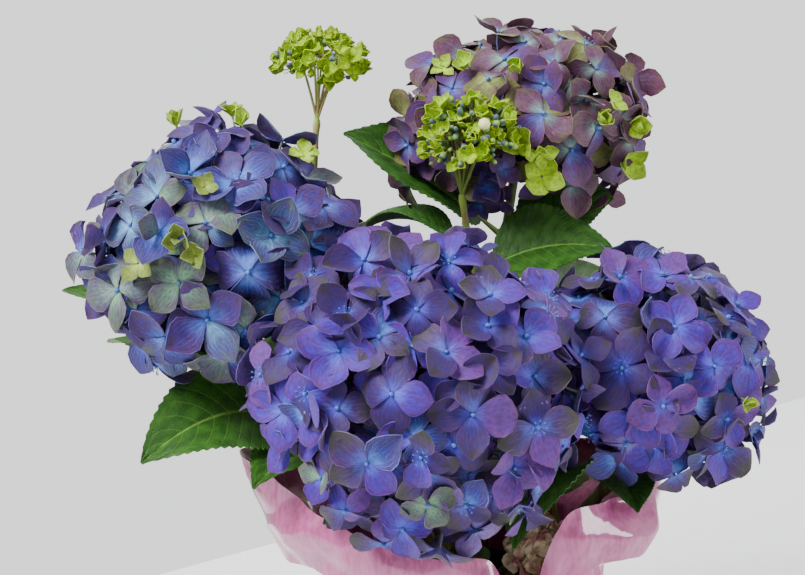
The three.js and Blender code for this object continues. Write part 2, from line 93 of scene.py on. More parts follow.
class Palette:
    """Adds and joins the nodes of a material or of a shader group."""

    def __init__(self, tree):
        self.tree = tree

    def fill(self, sockets, values):
        """Gives each socket its value or link, and leaves it alone for None."""
        for socket, value in zip(sockets, values):
            if isinstance(value, bpy.types.NodeSocket):
                self.tree.links.new(value, socket)
            elif value is not None:
                socket.default_value = value

    def node(self, kind, *values, **settings):
        """A node with its settings, and its inputs in order."""
        node = self.tree.nodes.new("ShaderNode" + kind)
        for key, value in settings.items():
            setattr(node, key, value)
        self.fill(node.inputs, values)
        return node

    def calc(self, operation, *values):
        return self.node("Math", *values, operation=operation).outputs[0]

    def blend(self, share, *colours):
        """From the first colour to the second. Plain ones are screen colours of 0 to 255."""
        node = self.node("Mix", data_type="RGBA")
        colours = [linear(colour) if isinstance(colour, tuple) else colour for colour in colours]
        self.fill([node.inputs[k] for k in (0, 6, 7)], (share, *colours))
        return node.outputs[2]

    def ease(self, value, low, high, start=0.0, end=1.0):
        """A smooth change from start to end as the value goes from low to high."""
        settings = {"interpolation_type": "SMOOTHSTEP"}
        return self.node("MapRange", value, low, high, start, end, **settings).outputs[0]

    def grain(self, scale, detail=3.0, stretch=(1, 1, 1)):
        """The grain group, with this finish's own values."""
        return self.node("Group", scale, detail, stretch, node_tree=grain_group.tree).outputs[0]


class Group(Palette):
    """A new shader group with named sockets."""

    def __init__(self, name, inputs, outputs):
        super().__init__(bpy.data.node_groups.new(name, "ShaderNodeTree"))
        for way, sockets in (("INPUT", inputs), ("OUTPUT", outputs)):
            for label, kind in sockets.items():
                kind = "NodeSocket" + kind
                self.tree.interface.new_socket(label, in_out=way, socket_type=kind)
        self.given = self.tree.nodes.new("NodeGroupInput").outputs
        self.result = self.tree.nodes.new("NodeGroupOutput").inputs


class Finish(Palette):
    """A new node material."""

    def __init__(self, name, colour, roughness):
        self.material = bpy.data.materials.new(name)
        self.material.use_nodes = True
        super().__init__(self.material.node_tree)
        self.shader = self.tree.nodes["Principled BSDF"]
        self.put("Base Color", linear(colour))
        self.put("Roughness", roughness)

    def put(self, socket, value):
        self.fill([self.shader.inputs[socket]], [value])

    def bump(self, height, distance, strength=1.0):
        node = self.node("Bump")
        sockets = [node.inputs[key] for key in ("Distance", "Strength", "Height")]
        self.fill(sockets, (distance, strength, height))
        self.put("Normal", node.outputs[0])


# Grain: noise over a piece's own Object coordinates, in waves a metre
grain_inputs = {"Scale": "Float", "Detail": "Float", "Stretch": "Vector"}
grain_group = Group("grain", grain_inputs, {"Grain": "Float"})
grain_scale, grain_detail, grain_stretch = grain_group.given[:3]
grain_place = grain_group.node("TexCoord").outputs["Object"]
grain_place = grain_group.node("Mapping", grain_place, (0, 0, 0), (0, 0, 0), grain_stretch).outputs[0]
grain_noise = grain_group.node("TexNoise", grain_place, None, grain_scale, grain_detail)
grain_group.fill(grain_group.result, grain_noise.outputs[:1])


def deselect():
    for thing in bpy.context.selected_objects:
        thing.select_set(False)


edge_left, edge_right = Vector((-0.2295, 0.311, 0)), Vector((0.4116, 0.764, 0))
along_edge = (edge_right - edge_left).normalized()
toward_viewer = Vector((along_edge.y, -along_edge.x, 0))
table_half = 2.2
deselect()
bpy.ops.mesh.primitive_plane_add(
    size=2 * table_half, location=(edge_left + edge_right) / 2 + table_half * toward_viewer,
    rotation=(0, 0, math.atan2(along_edge.y, along_edge.x)),
)
table = bpy.context.object
table.name = "table_top"
table_white = Finish("table_white", (248, 249, 249), 0.55)
table_white.put("Base Color", table_white.blend(table_white.grain(60), (252, 253, 253), (244, 245, 246)))
table.data.materials.append(table_white.material)

# Pot: a thin dark plastic pot, moulded in one piece with a stepped collar. It is hidden in
# the wrap but for its underside, and the solid's own shape stays.
plastic = Finish("pot_plastic", (38, 42, 40), 0.5)
plastic.put("Base Color", plastic.blend(plastic.grain(90, 5), (30, 33, 32), (58, 61, 58)))
plastic.bump(plastic.grain(900, 2), 0.0002)
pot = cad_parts["pot"]
pot.data.materials.clear()
pot.data.materials.append(plastic.material)


# Compost: dark crumbly peat with bark chips, filled to under the collar and patted level
# round the crown.
soil_foot, soil_top, soil_drop, pat_radius = 0.0033, 0.112, 0.005, 0.026
soil_foot_radius, soil_edge_radius, soil_inmost = 0.0502, 0.0684, 0.004
soil_rings, soil_sides = 30, 120
# Crumbs and chips: how high they rise, their size, and a seed
soil_crumbs, crumb_sink = ((0.0016, 0.012, 3), (0.0012, 0.004, 9)), 0.0006


def grid_quads(rows, columns, closed):
    """The quads of a grid of points, row by row, and joined round on itself if closed."""
    row, column = np.meshgrid(np.arange(rows - 1), np.arange(columns - (not closed)), indexing="ij")
    a, b = row * columns + column, row * columns + (column + 1) % columns
    return np.stack([a, b, b + columns, a + columns], -1).reshape(-1, 4)


def tube_quads(rows, sides):
    """The quads of a tube given as rings of points, with those that close its two ends."""
    end = (rows - 1) * sides
    caps = []
    for k in range(1, sides - 2, 2):
        caps += [(0, k + 2, k + 1, k), (end, end + k, end + k + 1, end + k + 2)]
    return np.concatenate([grid_quads(rows, sides, True), caps])


def fit(piece, degrees, slot, *nodes):
    """Smooths a piece up to an angle, and stands it on the plant's one body, in place of its
    solids."""
    deselect()
    bpy.context.view_layer.objects.active = piece
    piece.select_set(True)
    bpy.ops.object.shade_smooth_by_angle(angle=math.radians(degrees))
    piece.select_set(False)
    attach(piece, "root")
    if nodes:
        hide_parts(*nodes)


def add_piece(name, shape, finish, degrees, slot, *nodes):
    """A piece from arrays: points, the quads that join them and, for each quad corner, a UV."""
    points, quads = np.asarray(shape[0], np.float32).reshape(-1, 3), np.asarray(shape[1], np.int32)
    mesh = bpy.data.meshes.new(name)
    mesh.vertices.add(len(points))
    mesh.vertices.foreach_set("co", points.ravel())
    mesh.loops.add(quads.size)
    mesh.loops.foreach_set("vertex_index", quads.ravel())
    mesh.polygons.add(len(quads))
    mesh.polygons.foreach_set("loop_start", np.arange(0, quads.size, 4, dtype=np.int32))
    mesh.polygons.foreach_set("loop_total", np.full(len(quads), 4, np.int32))
    if len(shape) > 2:
        layer = mesh.uv_layers.new(name="OFBake")
        layer.data.foreach_set("uv", np.asarray(shape[2], np.float32).ravel())
    mesh.update(calc_edges=True)
    mesh.validate()
    piece = bpy.data.objects.new(name, mesh)
    bpy.context.collection.objects.link(piece)
    piece.data.materials.append(finish.material)
    fit(piece, degrees, slot, *nodes)
    return piece


def crumbs(x, y, rise, size, seed):
    return rise * noise.fractal(Vector((x, y, 0)) / size + Vector((seed, 0, 0)), 0.7, 2.0, 4)


soil_profile = [(soil_inmost, soil_foot), (soil_foot_radius, soil_foot)]
soil_profile += [(soil_edge_radius, soil_top - soil_drop)]
for k in range(1, soil_rings + 1):
    soil_profile.append((soil_edge_radius + (soil_inmost - soil_edge_radius) * k / soil_rings, 0.0))
soil_points = []
for row, (radius, height) in enumerate(soil_profile):
    for k in range(soil_sides):
        angle = 2 * math.pi * k / soil_sides
        x, y, z = radius * math.cos(angle), radius * math.sin(angle), height
        if row > 2:
            share = (radius - pat_radius) / (soil_edge_radius - pat_radius)
            z = soil_top - soil_drop * max(0.0, min(1.0, share))
            fade = min(1.0, (row - 2) / 3)
            z += fade * (sum(crumbs(x, y, *kind) for kind in soil_crumbs) - crumb_sink)
        soil_points.append((x, y, z))
peat = Finish("peat_compost", (58, 42, 30), 0.95)
peat_grain = peat.grain(420, 6)
peat.put("Base Color", peat.blend(peat.ease(peat_grain, 0.35, 0.7), (28, 20, 14), (96, 72, 50)))
peat.bump(peat_grain, 0.0015)
soil_quads = tube_quads(len(soil_profile), soil_sides)
add_piece("compost", (soil_points, soil_quads), peat, 50, "compost", "soil")

# Wrap: one big sheet of pink fibrous tissue with a clear gloss film outside. It is folded up
# round the pot in pleats and gathered at the neck. Its free part puffs out round the stems
# in creased facets, and dips to a slit in front, right of the middle.

# In degrees and millimetres: angle, shoulder radius and height, edge radius and height
wrap_stations = np.array([
    (0, 104, 184, 110, 213.5), (28, 102, 186, 109, 206), (56, 100, 184, 108, 198),
    (90, 98, 182, 106, 192), (124, 100, 184, 108, 198), (152, 103, 186, 113, 206),
    (180, 100, 181, 117, 220), (200, 101, 173, 117, 222), (216, 104, 178, 110, 218),
    (238, 101, 178, 103, 209), (258, 98, 176, 99, 202), (276, 96, 173, 96, 197),
    (288, 84, 162, 86, 166), (299, 94, 180, 92, 214), (318, 101, 186, 97, 217),
    (340, 106, 180, 103, 214),
])
pot_top_radius, pot_foot_radius, collar_step = 0.075, 0.053, 0.003
pot_height, collar_height = 0.130, 0.020
wrap_foot, wrap_neck, wrap_clear = 0.002, pot_height + 0.030, 0.0013
pleat_count, pleat_depth, pleat_sharpness = 17, 0.0046, 2.2
gather_pleats, gather_depth, gather_width = 37, 0.0016, 0.16
wrap_columns, side_rows, puff_rows, edge_rows = 288, 30, 18, 20
tissue_thickness = 0.0005
corner_turn, corner_width, corner_rise = 196, 14, 0.010
facets_round, facet_rise, facet_seed, facet_turn, facet_height = 1000, 0.0044, 14, 15, 0.021
fold_depth, fold_size, crease_depth, crease_size, edge_bulge = 0.0030, 0.05, 0.0012, 0.02, 0.03


def unit(vectors):
    """Each vector at length one."""
    vectors = np.asarray(vectors, float)
    return vectors / np.linalg.norm(vectors, axis=-1, keepdims=True)


def station_guide(radius, height):
    """The wrap's stations as points, in metres, from their radius and height columns."""
    turn = np.radians(wrap_stations[:, 0])
    radius, height = wrap_stations[:, radius], wrap_stations[:, height]
    return np.stack([radius * np.cos(turn), radius * np.sin(turn), height], -1) / 1000


def on_loop(points, share):
    """A point on the closed smooth curve through the points."""
    count = len(points)
    start, t = int(share * count), share * count % 1
    a, b, c, d = (points[(start + k) % count] for k in (-1, 0, 1, 2))
    bend, twist = 2 * a - 5 * b + 4 * c - d, 3 * b - a - 3 * c + d
    return 0.5 * (2 * b + (c - a) * t + bend * t * t + twist * t**3)


def ridge(point, size, seed):
    """Creased noise that comes to 1 on sharp folds and falls off into the flats."""
    return 1 - abs(noise.noise(Vector(point) / size + Vector((0, seed, 0)))) * 2


def facets(across, up):
    """Flat facets between sharp creases: random heights joined by triangles."""
    skew = (across + up) * 0.366
    i, j = math.floor(across + skew), math.floor(up + skew)
    u, v = across + skew - i, up + skew - j

    def height(a, b):
        return noise.cell(Vector((a % facets_round + 0.5, b + 0.5, facet_seed + 0.5)))

    middle = height(i + 1, j) if u > v else height(i, j + 1)
    return (1 - max(u, v)) * height(i, j) + abs(u - v) * middle + min(u, v) * height(i + 1, j + 1)


def wrap_point(k, row):
    """A point on the wrap's outer face. The row is 0 at the foot, 1 at the neck, 2 at the
    shoulder and 3 at the edge."""
    shoulder, edge = on_loop(wrap_shoulder, k / wrap_columns), on_loop(wrap_edge, k / wrap_columns)
    angle = math.atan2(shoulder[1], shoulder[0])
    spot = Vector((math.cos(angle), math.sin(angle), 0))
    off_corner = ((math.degrees(angle) - corner_turn) % 360 + 180) % 360 - 180
    corner = math.exp(-((off_corner / corner_width) ** 2))
    edge = edge + corner * corner_rise * np.array([0.3 * spot.x, 0.3 * spot.y, 1])

    def wander(size, seed):
        return noise.noise(Vector((size * spot.x, size * spot.y, seed)))

    if row <= 1:
        # Up the pot's wall and collar, in pleats
        height = wrap_foot + (wrap_neck - wrap_foot) * row
        collar_foot = pot_height - collar_height
        hug = pot_top_radius
        if height < collar_foot:
            flare = pot_top_radius - collar_step - pot_foot_radius
            hug = pot_foot_radius + flare * height / collar_foot
            hug += (pot_top_radius - hug) * max(0, (height - 0.09) / 0.02) ** 2
        turn = pleat_count * (angle + 0.12 * wander(1.7, 3))
        crest = abs((turn / math.pi) % 2 - 1) ** pleat_sharpness
        pleat = pleat_depth * (0.75 + 0.5 * wander(2.3, 8)) * crest
        radius = hug + wrap_clear + pleat * (0.35 + 0.65 * math.sin(math.pi * (0.1 + 0.8 * row)))
        place = np.array([radius * spot.x, radius * spot.y, height])
    elif row <= 2:
        # Out from the neck, steep at first
        t, radius = row - 1, pot_top_radius + wrap_clear
        neck = np.array([radius * spot.x, radius * spot.y, wrap_neck])
        place = neck + (shoulder - neck) * np.array([t**1.5, t**1.5, t**0.6])
    else:
        t = row - 2
        place = shoulder + (edge - shoulder) * t
        place[:2] *= 1 + edge_bulge * math.sin(math.pi * t)
    gather = math.exp(-(((row - 1) / gather_width) ** 2))
    turn = angle + 0.05 * noise.noise(Vector((place[0] * 40, place[1] * 40, 5)))
    push = gather_depth * gather * (1 + math.cos(gather_pleats * turn))
    loose = max(0.0, min(1.0, (row - 0.9) / 0.6))
    fold = noise.noise(Vector((3.2 * angle, 0.8 * row, 1)))
    push += loose * fold_depth * (ridge(place, fold_size, 2) + fold)
    crease = ridge((place[0], place[1], 0.45 * place[2]), crease_size, 7)
    push += (0.5 + 0.5 * loose) * crease_depth * crease
    facet = facets(math.degrees(angle) / facet_turn, place[2] / facet_height)
    push += (0.4 + 0.6 * loose) * (1 - gather) * facet_rise * facet
    return place + push * np.array(spot)


wrap_shoulder, wrap_edge = station_guide(1, 2), station_guide(3, 4)
wrap_rows = [k / side_rows for k in range(side_rows)]
wrap_rows += [1 + k / puff_rows for k in range(puff_rows)]
wrap_rows += [2 + k / edge_rows for k in range(edge_rows + 1)]
outer = np.array([[wrap_point(k, row) for k in range(wrap_columns)] for row in wrap_rows])
inward = unit(np.cross(np.gradient(outer, axis=0), np.roll(outer, -1, 1) - np.roll(outer, 1, 1)))
wrap_grid = np.concatenate([outer, (outer + tissue_thickness * inward)[::-1]])
# The last row, the inner face's foot, joins the first
wrap_quads = grid_quads(len(wrap_grid) + 1, wrap_columns, True) % (len(wrap_grid) * wrap_columns)
tissue = Finish("pink_tissue", (200, 142, 176), 0.5)
fibres = tissue.grain(420, 6, (1, 1, 0.3))
pinks = tissue.blend(tissue.ease(fibres, 0.38, 0.62), (146, 42, 102), (170, 66, 126))
clouds = tissue.ease(tissue.grain(60, 5, (1, 1, 0.6)), 0.35, 0.7, 0.0, 0.45)
tissue.put("Base Color", tissue.blend(clouds, pinks, (188, 92, 146)))
tissue.put("Coat Weight", 1.0)
tissue.put("Coat Roughness", 0.07)
crumple = tissue.calc("PINGPONG", tissue.calc("MULTIPLY", tissue.grain(26, 1), 4.0), 0.5)
tissue.bump(tissue.calc("MULTIPLY_ADD", crumple, 9.0, fibres), 0.0007, 0.3)
add_piece("tissue_wrap", (wrap_grid, wrap_quads), tissue, 60, "wrap", "paper_wrap")


# Crown: the short woody foot that every cane springs from, with flared root lobes and
# fissured grey-brown bark.
crown_foot, crown_height = 0.1123, 0.0397
flare_radius, neck_radius, top_radius, root_lobes, lobe_depth = 0.016, 0.0086, 0.0076, 5, 0.16
crown_rows, crown_sides, bark_depth, top_bevel = 70, 60, 0.0005, 0.9
crown_points = []
for row in range(crown_rows + 1):
    t = row / crown_rows
    height = crown_foot + crown_height * t
    for k in range(crown_sides):
        angle = 2 * math.pi * k / crown_sides
        x, y = math.cos(angle), math.sin(angle)
        lobe = 1 + lobe_depth * (1 - t) ** 2 * math.cos(root_lobes * angle)
        radius = neck_radius + (top_radius - neck_radius) * t
        radius += (flare_radius - neck_radius) * (1 - t) ** 4 * lobe
        fissure = ridge((x * 0.01, y * 0.01, height * 0.25), 0.0022, 4)
        fissure += 0.5 * ridge((x * 0.01, y * 0.01, height * 0.5), 0.0011, 6)
        radius += bark_depth * (fissure - 1)
        if row == crown_rows:
            radius *= top_bevel
        crown_points.append((radius * x, radius * y, height))
bark = Finish("woody_bark", (125, 104, 78), 0.9)
bark_grain = bark.grain(700, 6, (1, 1, 0.2))
bark.put("Base Color", bark.blend(bark.ease(bark_grain, 0.35, 0.65), (84, 66, 46), (160, 140, 108)))
bark.bump(bark_grain, 0.0008)
crown_quads = tube_quads(crown_rows + 1, crown_sides)
add_piece("woody_crown", (crown_points, crown_quads), bark, 50, "bark", "crown")


# Canes: eight smooth round shoots, woody and brown where they leave the crown and green
# above, swollen at each pair of leaves. Each one tapers up into the axis of its head.
# For each head, in millimetres: middle, half sizes, axis and the seed of its florets.
heads = {
    "front": ((-28, -78, 279), (92, 74, 84), (-0.14, -0.36, 0.92), 11),
    "left": ((-134, -20, 340), (78, 70, 72), (-0.4, -0.08, 0.91), 23),
    "right": ((101, -22, 277), (69, 62, 66), (0.27, -0.07, 0.96), 37),
    "top": ((35, 50, 403), (72, 62, 57), (0.15, 0.05, 0.98), 41),
    "back": ((-17, 92, 254), (63, 56, 61), (-0.1, 0.42, 0.9), 59),
}
# For each corymb, in millimetres: the fork of its rays, middle and half sizes
corymbs = {
    "young": ((-2, -2, 367), (-7, -8, 401), (30, 24, 26)),
    "bud": ((-82, 42, 402), (-79, 40, 435), (28, 23, 20)),
}
stem_reach, corymb_stem = 0.76, 0.015
# For each cane: the side of the crown it leaves from, in degrees, its height there in
# millimetres, and its nodes as shares of its length
cane_rows = {
    "front": (250, 141, (0.28, 0.5, 0.78)), "left": (187, 130, (0.3, 0.48, 0.67, 0.86)),
    "right": (342, 130, (0.3, 0.52, 0.72, 0.87)), "top": (50, 140, (0.2, 0.4, 0.62, 0.86)),
    "back": (98, 130, (0.35, 0.66, 0.8)), "bud": (143, 141, (0.35, 0.6, 0.83)),
    "young": (20, 146, (0.3, 0.6, 0.86)), "old": (292, 124, (0.5,)),
}
cane_lean, usual_lean = {"young": 0.05, "old": 0.9}, 0.7
cane_foot_radius, cane_tip_radius, thin_tip_radius = 0.0041, 0.0027, 0.0021
cane_start_radius, cane_handle = 0.0035, 0.36
node_swell, node_length, skin_swell = 0.0009, 0.0068, 0.00025
old_tip, old_axis = (33, -36, 168), (0.5, -0.5, 0.7)


def metres(values):
    return np.array(values, float) / 1000


def corymb_axis(name):
    fork, centre, _ = corymbs[name]
    return unit(np.subtract(centre, fork))


def cane_end(name):
    """The place and direction of the cane's tip."""
    if name in heads:
        centre, radii, axis, _ = heads[name]
        return metres(centre) - stem_reach * radii[2] / 1000 * np.array(axis), unit(axis)
    if name in corymbs:
        axis = corymb_axis(name)
        return metres(corymbs[name][0]) - corymb_stem * axis, axis
    return metres(old_tip), unit(old_axis)


def cane_controls(name):
    """The four control points of the cane's centre line."""
    angle = math.radians(cane_rows[name][0])
    outward, up = np.array([math.cos(angle), math.sin(angle), 0]), np.array([0, 0, 1])
    lean = cane_lean.get(name, usual_lean)
    start = cane_start_radius * outward + cane_rows[name][1] / 1000 * up
    end, axis = cane_end(name)
    handle = cane_handle * np.linalg.norm(end - start)
    leave = lean * outward + math.sqrt(1 - lean * lean) * up
    return start, start + handle * leave, end - handle * axis, end


def cane_point(name, share):
    """A point at a share of the cane's length."""
    a, b, c, d = cane_controls(name)
    t = np.linspace(0, 1, 201)[:, None]
    line = (1 - t) ** 3 * a + 3 * (1 - t) ** 2 * t * b + 3 * (1 - t) * t * t * c + t**3 * d
    run = np.concatenate([[0], np.cumsum(np.linalg.norm(np.diff(line, axis=0), axis=1))])
    return np.array([np.interp(share * run[-1], run, line[:, k]) for k in range(3)])


skin = Finish("cane_skin", (127, 143, 76), 0.55)
streaks = skin.grain(260, 4, (1, 1, 0.15))
streaked = skin.ease(streaks, 0.35, 0.7)
height_up = skin.node("SeparateXYZ", skin.node("TexCoord").outputs["Object"]).outputs[2]
greening = skin.ease(skin.calc("ADD", height_up, skin.calc("MULTIPLY", streaks, 0.09)), 0.19, 0.3)
browns = skin.blend(streaked, (98, 78, 54), (150, 128, 92))
greens = skin.blend(streaked, (88, 110, 40), (128, 140, 62))
specks = skin.ease(skin.grain(900, 1, (1, 1, 0.4)), 0.66, 0.74, 0.0, 0.7)
skin.put("Base Color", skin.blend(specks, skin.blend(greening, browns, greens), (120, 70, 58)))
skin.bump(streaks, 0.0004)
canes = []
for name, (_, _, nodes) in cane_rows.items():
    deselect()
    bpy.ops.curve.primitive_bezier_curve_add()
    cane = bpy.context.object
    a, b, c, d = (Vector(point) for point in cane_controls(name))
    foot, tip = cane.data.splines[0].bezier_points
    for end in (foot, tip):
        end.handle_left_type = end.handle_right_type = "FREE"
    foot.co, foot.handle_left, foot.handle_right = a, 2 * a - b, b
    tip.co, tip.handle_left, tip.handle_right = d, c, 2 * d - c
    tip.radius = (thin_tip_radius if name in corymbs else cane_tip_radius) / cane_foot_radius
    cane.data.resolution_u = 90
    cane.data.bevel_depth = cane_foot_radius
    cane.data.bevel_resolution = 4
    cane.data.use_fill_caps = True
    bpy.ops.object.convert(target="MESH")
    cane = bpy.context.object
    cane.name = cane.data.name = f"cane_skin_{name}"
    swellings = [Vector(cane_point(name, share)) for share in nodes]
    for corner in cane.data.vertices:
        away = [(corner.co - swelling).length / node_length for swelling in swellings]
        swell = sum(node_swell * math.exp(-(lengths**4)) for lengths in away)
        corner.co += (swell + skin_swell * noise.noise(corner.co * 160)) * corner.normal
    cane.data.materials.clear()
    cane.data.materials.append(skin.material)
    fit(cane, 60, "cane", f"cane_{name}")
    canes.append(cane)


# Leaves: opposite pairs of broad toothed blades on short thick stalks. Each is one blade
# that arches along its midrib, folds up a little either side of it, and swells between the
# sunken side veins.

# Cane, place along it, tip of the blade in millimetres, arch, and roll in degrees
leaf_rows = [
    ("left", 0.88, (-221, 4, 314), 0.03, 0), ("left", 0.93, (-46, 30, 322), 0.1, 0),
    ("left", 0.84, (-204, 34, 276), 0.06, 0), ("left", 0.68, (-169, -66, 239), 0.2, -34),
    ("left", 0.66, (-132, 82, 258), 0.16, 0), ("left", 0.46, (-110, -80, 231), 0.22, -6),
    ("left", 0.5, (-112, 62, 224), 0.16, 0), ("right", 0.52, (22, -96, 205), 0.42, 0),
    ("front", 0.78, (-74, -90, 216), 0.1, 0), ("front", 0.5, (3, -85, 173), 0.1, 0),
    ("right", 0.88, (88, -70, 214), 0.08, 0), ("right", 0.86, (112, 78, 230), 0.16, 0),
    ("right", 0.72, (164, 16, 232), 0.05, 0), ("top", 0.88, (-66, 22, 398), 0.04, -30),
    ("top", 0.84, (86, 42, 358), 0.12, 55), ("top", 0.62, (112, 78, 292), 0.2, 0),
    ("top", 0.62, (-56, 112, 296), 0.16, 0), ("top", 0.4, (92, 88, 214), 0.1, 0),
    ("young", 0.88, (-60, 16, 343), 0.26, 0), ("young", 0.84, (80, -4, 339), 0.12, 38),
    ("bud", 0.86, (-152, 92, 350), 0.18, 0), ("bud", 0.8, (-34, 98, 314), 0.1, 0),
    ("bud", 0.6, (-118, 118, 262), 0.2, 0), ("back", 0.8, (66, 122, 214), 0.08, 0),
    ("back", 0.8, (-94, 118, 216), 0.08, 0), ("back", 0.66, (-8, 144, 208), 0.02, 0),
]
stalk_share, stalk_radius, stalk_flare, stalk_rows, stalk_sides = 0.18, 0.0017, 0.0007, 9, 8
leaf_width_share, leaf_least, leaf_fold, leaf_thickness = 0.74, 0.0009, math.radians(14), 0.0006
teeth, rows_a_tooth, tooth_share, tooth_crest = 22, 4, 0.020, 0.75
vein_gap, vein_sweep, vein_bend, vein_narrowing, vein_depth = 0.105, 0.30, 1.2, 0.35, 0.0009
midrib_width = 0.0016
half_columns = np.array([0, 0.025, 0.06, 0.15, 0.27, 0.4, 0.53, 0.66, 0.78, 0.88, 0.95, 1.0])
leaf_columns = np.concatenate([-half_columns[:0:-1], half_columns])
# Where the two faces and the stalk lie on the leaf's UV map
top_face_u, under_face_u, face_half_u, stalk_u = 0.24, 0.72, 0.23, 0.985
face_foot_v, face_height_v = 0.01, 0.98


def rods(paths, radii, sides):
    """Closed round rods along paths, an array of rod by step by xyz. Their radius is one
    number, or one for each step."""
    count, steps = paths.shape[:2]
    along = unit(np.gradient(paths, axis=1))
    lead = np.where(np.abs(along[:, :1, 2:3]) > 0.8, np.array([1.0, 0, 0]), np.array([0, 0, 1.0]))
    side = unit(np.cross(along, lead))
    other = np.cross(along, side)
    turn = 2 * np.pi * np.arange(sides) / sides
    ring = np.cos(turn)[:, None] * side[:, :, None] + np.sin(turn)[:, None] * other[:, :, None]
    points = paths[:, :, None] + np.reshape(radii, (-1, 1, 1)) * ring
    quads = tube_quads(steps, sides)[None] + (np.arange(count) * steps * sides)[:, None, None]
    return points.reshape(-1, 3), quads.reshape(-1, 4)


def blade_quads(rows, columns):
    """The quads of a thin blade whose two faces are grids of points: its upper face, its
    under face and its rim."""
    face, count = grid_quads(rows, columns, False), rows * columns
    border = np.concatenate([
        np.arange(columns), np.arange(1, rows) * columns + columns - 1,
        (rows - 1) * columns + np.arange(columns - 2, -1, -1), np.arange(rows - 2, 0, -1) * columns,
    ])
    following = np.roll(border, -1)
    rim = np.stack([following, border, border + count, following + count], -1)
    return face, face[:, ::-1] + count, rim


def join_shapes(*shapes):
    """Several pieces' points, quads and UV, where they have it, as one piece's."""
    starts = np.cumsum([0] + [len(shape[0]) for shape in shapes])
    columns = list(zip(*shapes))
    columns[1] = [quads + start for quads, start in zip(columns[1], starts)]
    return [np.concatenate(column) for column in columns]


def bezier(base, bow, tip, t):
    """Points on the curves from the bases, drawn toward the bows, to the tips."""
    base, bow, tip, t = base[..., None, :], bow[..., None, :], tip[..., None, :], np.reshape(t, (-1, 1))
    return (1 - t) ** 2 * base + 2 * t * (1 - t) * bow + t * t * tip


def leaf_shape(cane_name, along, tip, arch, roll, seed):
    base, tip = cane_point(cane_name, along), metres(tip)
    length = np.linalg.norm(tip - base)
    bow = base + 0.45 * (tip - base)
    bow[2] += 2 * arch * length
    blade_length = length * (1 - stalk_share)
    s = np.linspace(0, 1, teeth * rows_a_tooth + 1)
    at = stalk_share + (1 - stalk_share) * s
    centre = bezier(base, bow, tip, at)
    forward = unit(2 * (1 - at[:, None]) * (bow - base) + 2 * at[:, None] * (tip - bow))
    side, roll = unit(np.cross([0, 0, 1.0], forward)), math.radians(roll)
    # Side is at right angles to forward, about which the blade rolls
    side = side * math.cos(roll) + np.cross(forward, side) * math.sin(roll)
    up = np.cross(forward, side)
    outline = np.sin(np.pi * s**0.72).clip(0) ** 0.8
    half = 0.5 * leaf_width_share * outline * (1 - 0.25 * s**4) * blade_length
    half = np.maximum(half, leaf_least)
    saw = (s * teeth) % 1
    saw = np.where(saw <= tooth_crest, saw / tooth_crest, (1 - saw) / (1 - tooth_crest))
    saw = saw * np.sin(np.pi * s**0.8).clip(0, 1) ** 0.5
    half, saw, s = half[:, None], saw[:, None], s[:, None]
    w, width = leaf_columns, np.abs(leaf_columns)
    outward = half * w + np.sign(w) * tooth_share * blade_length * saw * width**12
    vein = (s - vein_sweep * width**vein_bend * (1 - vein_narrowing * s)) / vein_gap
    pillow = np.sin(np.pi * (vein % 1)) ** 0.7 - 0.6
    pillow = pillow * (1 - width**6) * np.minimum(1, 12 * width)
    relief = vein_depth * (pillow - np.exp(-((outward / midrib_width) ** 2)))
    wave = 0.035 * blade_length * np.sin(7 * s + 2.1 * seed + 1.2 * np.sign(w)) * width**3
    wave *= np.sin(np.pi * s) ** 0.7
    lift = half * width**1.3 * math.tan(leaf_fold) * 1.1 + wave + relief
    middle = centre[:, None] + outward[..., None] * side[:, None] + lift[..., None] * up[:, None]
    normal = unit(np.cross(np.gradient(middle, axis=0), np.gradient(middle, axis=1)))
    if np.sum(normal[:, len(w) // 2] * up) < 0:
        normal = -normal
    rows, columns = middle.shape[:2]
    points = [(middle + reach * leaf_thickness * normal).reshape(-1, 3) for reach in (0.5, -0.5)]
    over, under, rim = blade_quads(rows, columns)
    u = np.broadcast_to(w, (rows, columns)).ravel() * face_half_u
    v = np.repeat(face_foot_v + face_height_v * s, columns)
    uv_points = np.concatenate([np.stack([face_u + u, v], -1) for face_u in (top_face_u, under_face_u)])
    quads = np.concatenate([over, under, rim])
    uv_quads = np.concatenate([over, under, rim % (rows * columns)])
    share = np.linspace(0, 1, stalk_rows)
    stalk_end = bezier(base, bow, tip, stalk_share + 0.02)[0]
    path = bezier(base, base + stalk_share * (bow - base), stalk_end, share)
    thick = stalk_radius * (1.3 - 0.75 * share) + stalk_flare * np.exp(-((share / 0.12) ** 2))
    stalk_points, stalk_quads = rods(path[None], thick, stalk_sides)
    stalk_uv = np.full((stalk_quads.size, 2), (stalk_u, 0.5))
    leaf = (np.concatenate(points), quads, uv_points[uv_quads].reshape(-1, 2))
    return join_shapes(leaf, (stalk_points, stalk_quads, stalk_uv))


blade = Finish("leaf_blade", (58, 94, 41), 0.5)
leaf_uv = blade.node("SeparateXYZ", blade.node("UVMap", uv_map="OFBake").outputs[0])
leaf_u, leaf_v = leaf_uv.outputs[0], leaf_uv.outputs[1]
is_under = blade.calc("GREATER_THAN", leaf_u, 0.48)
is_stalk = blade.calc("GREATER_THAN", leaf_u, 0.965)
face_middle = blade.calc("MULTIPLY_ADD", is_under, under_face_u - top_face_u, top_face_u)
leaf_w = blade.calc("DIVIDE", blade.calc("SUBTRACT", leaf_u, face_middle), face_half_u)
leaf_w = blade.calc("ABSOLUTE", leaf_w)
leaf_s = blade.calc("DIVIDE", blade.calc("SUBTRACT", leaf_v, face_foot_v), face_height_v)
sweep = blade.calc("MULTIPLY_ADD", leaf_s, -vein_narrowing * vein_sweep, vein_sweep)
swept = blade.calc("MULTIPLY", blade.calc("POWER", leaf_w, vein_bend), sweep)
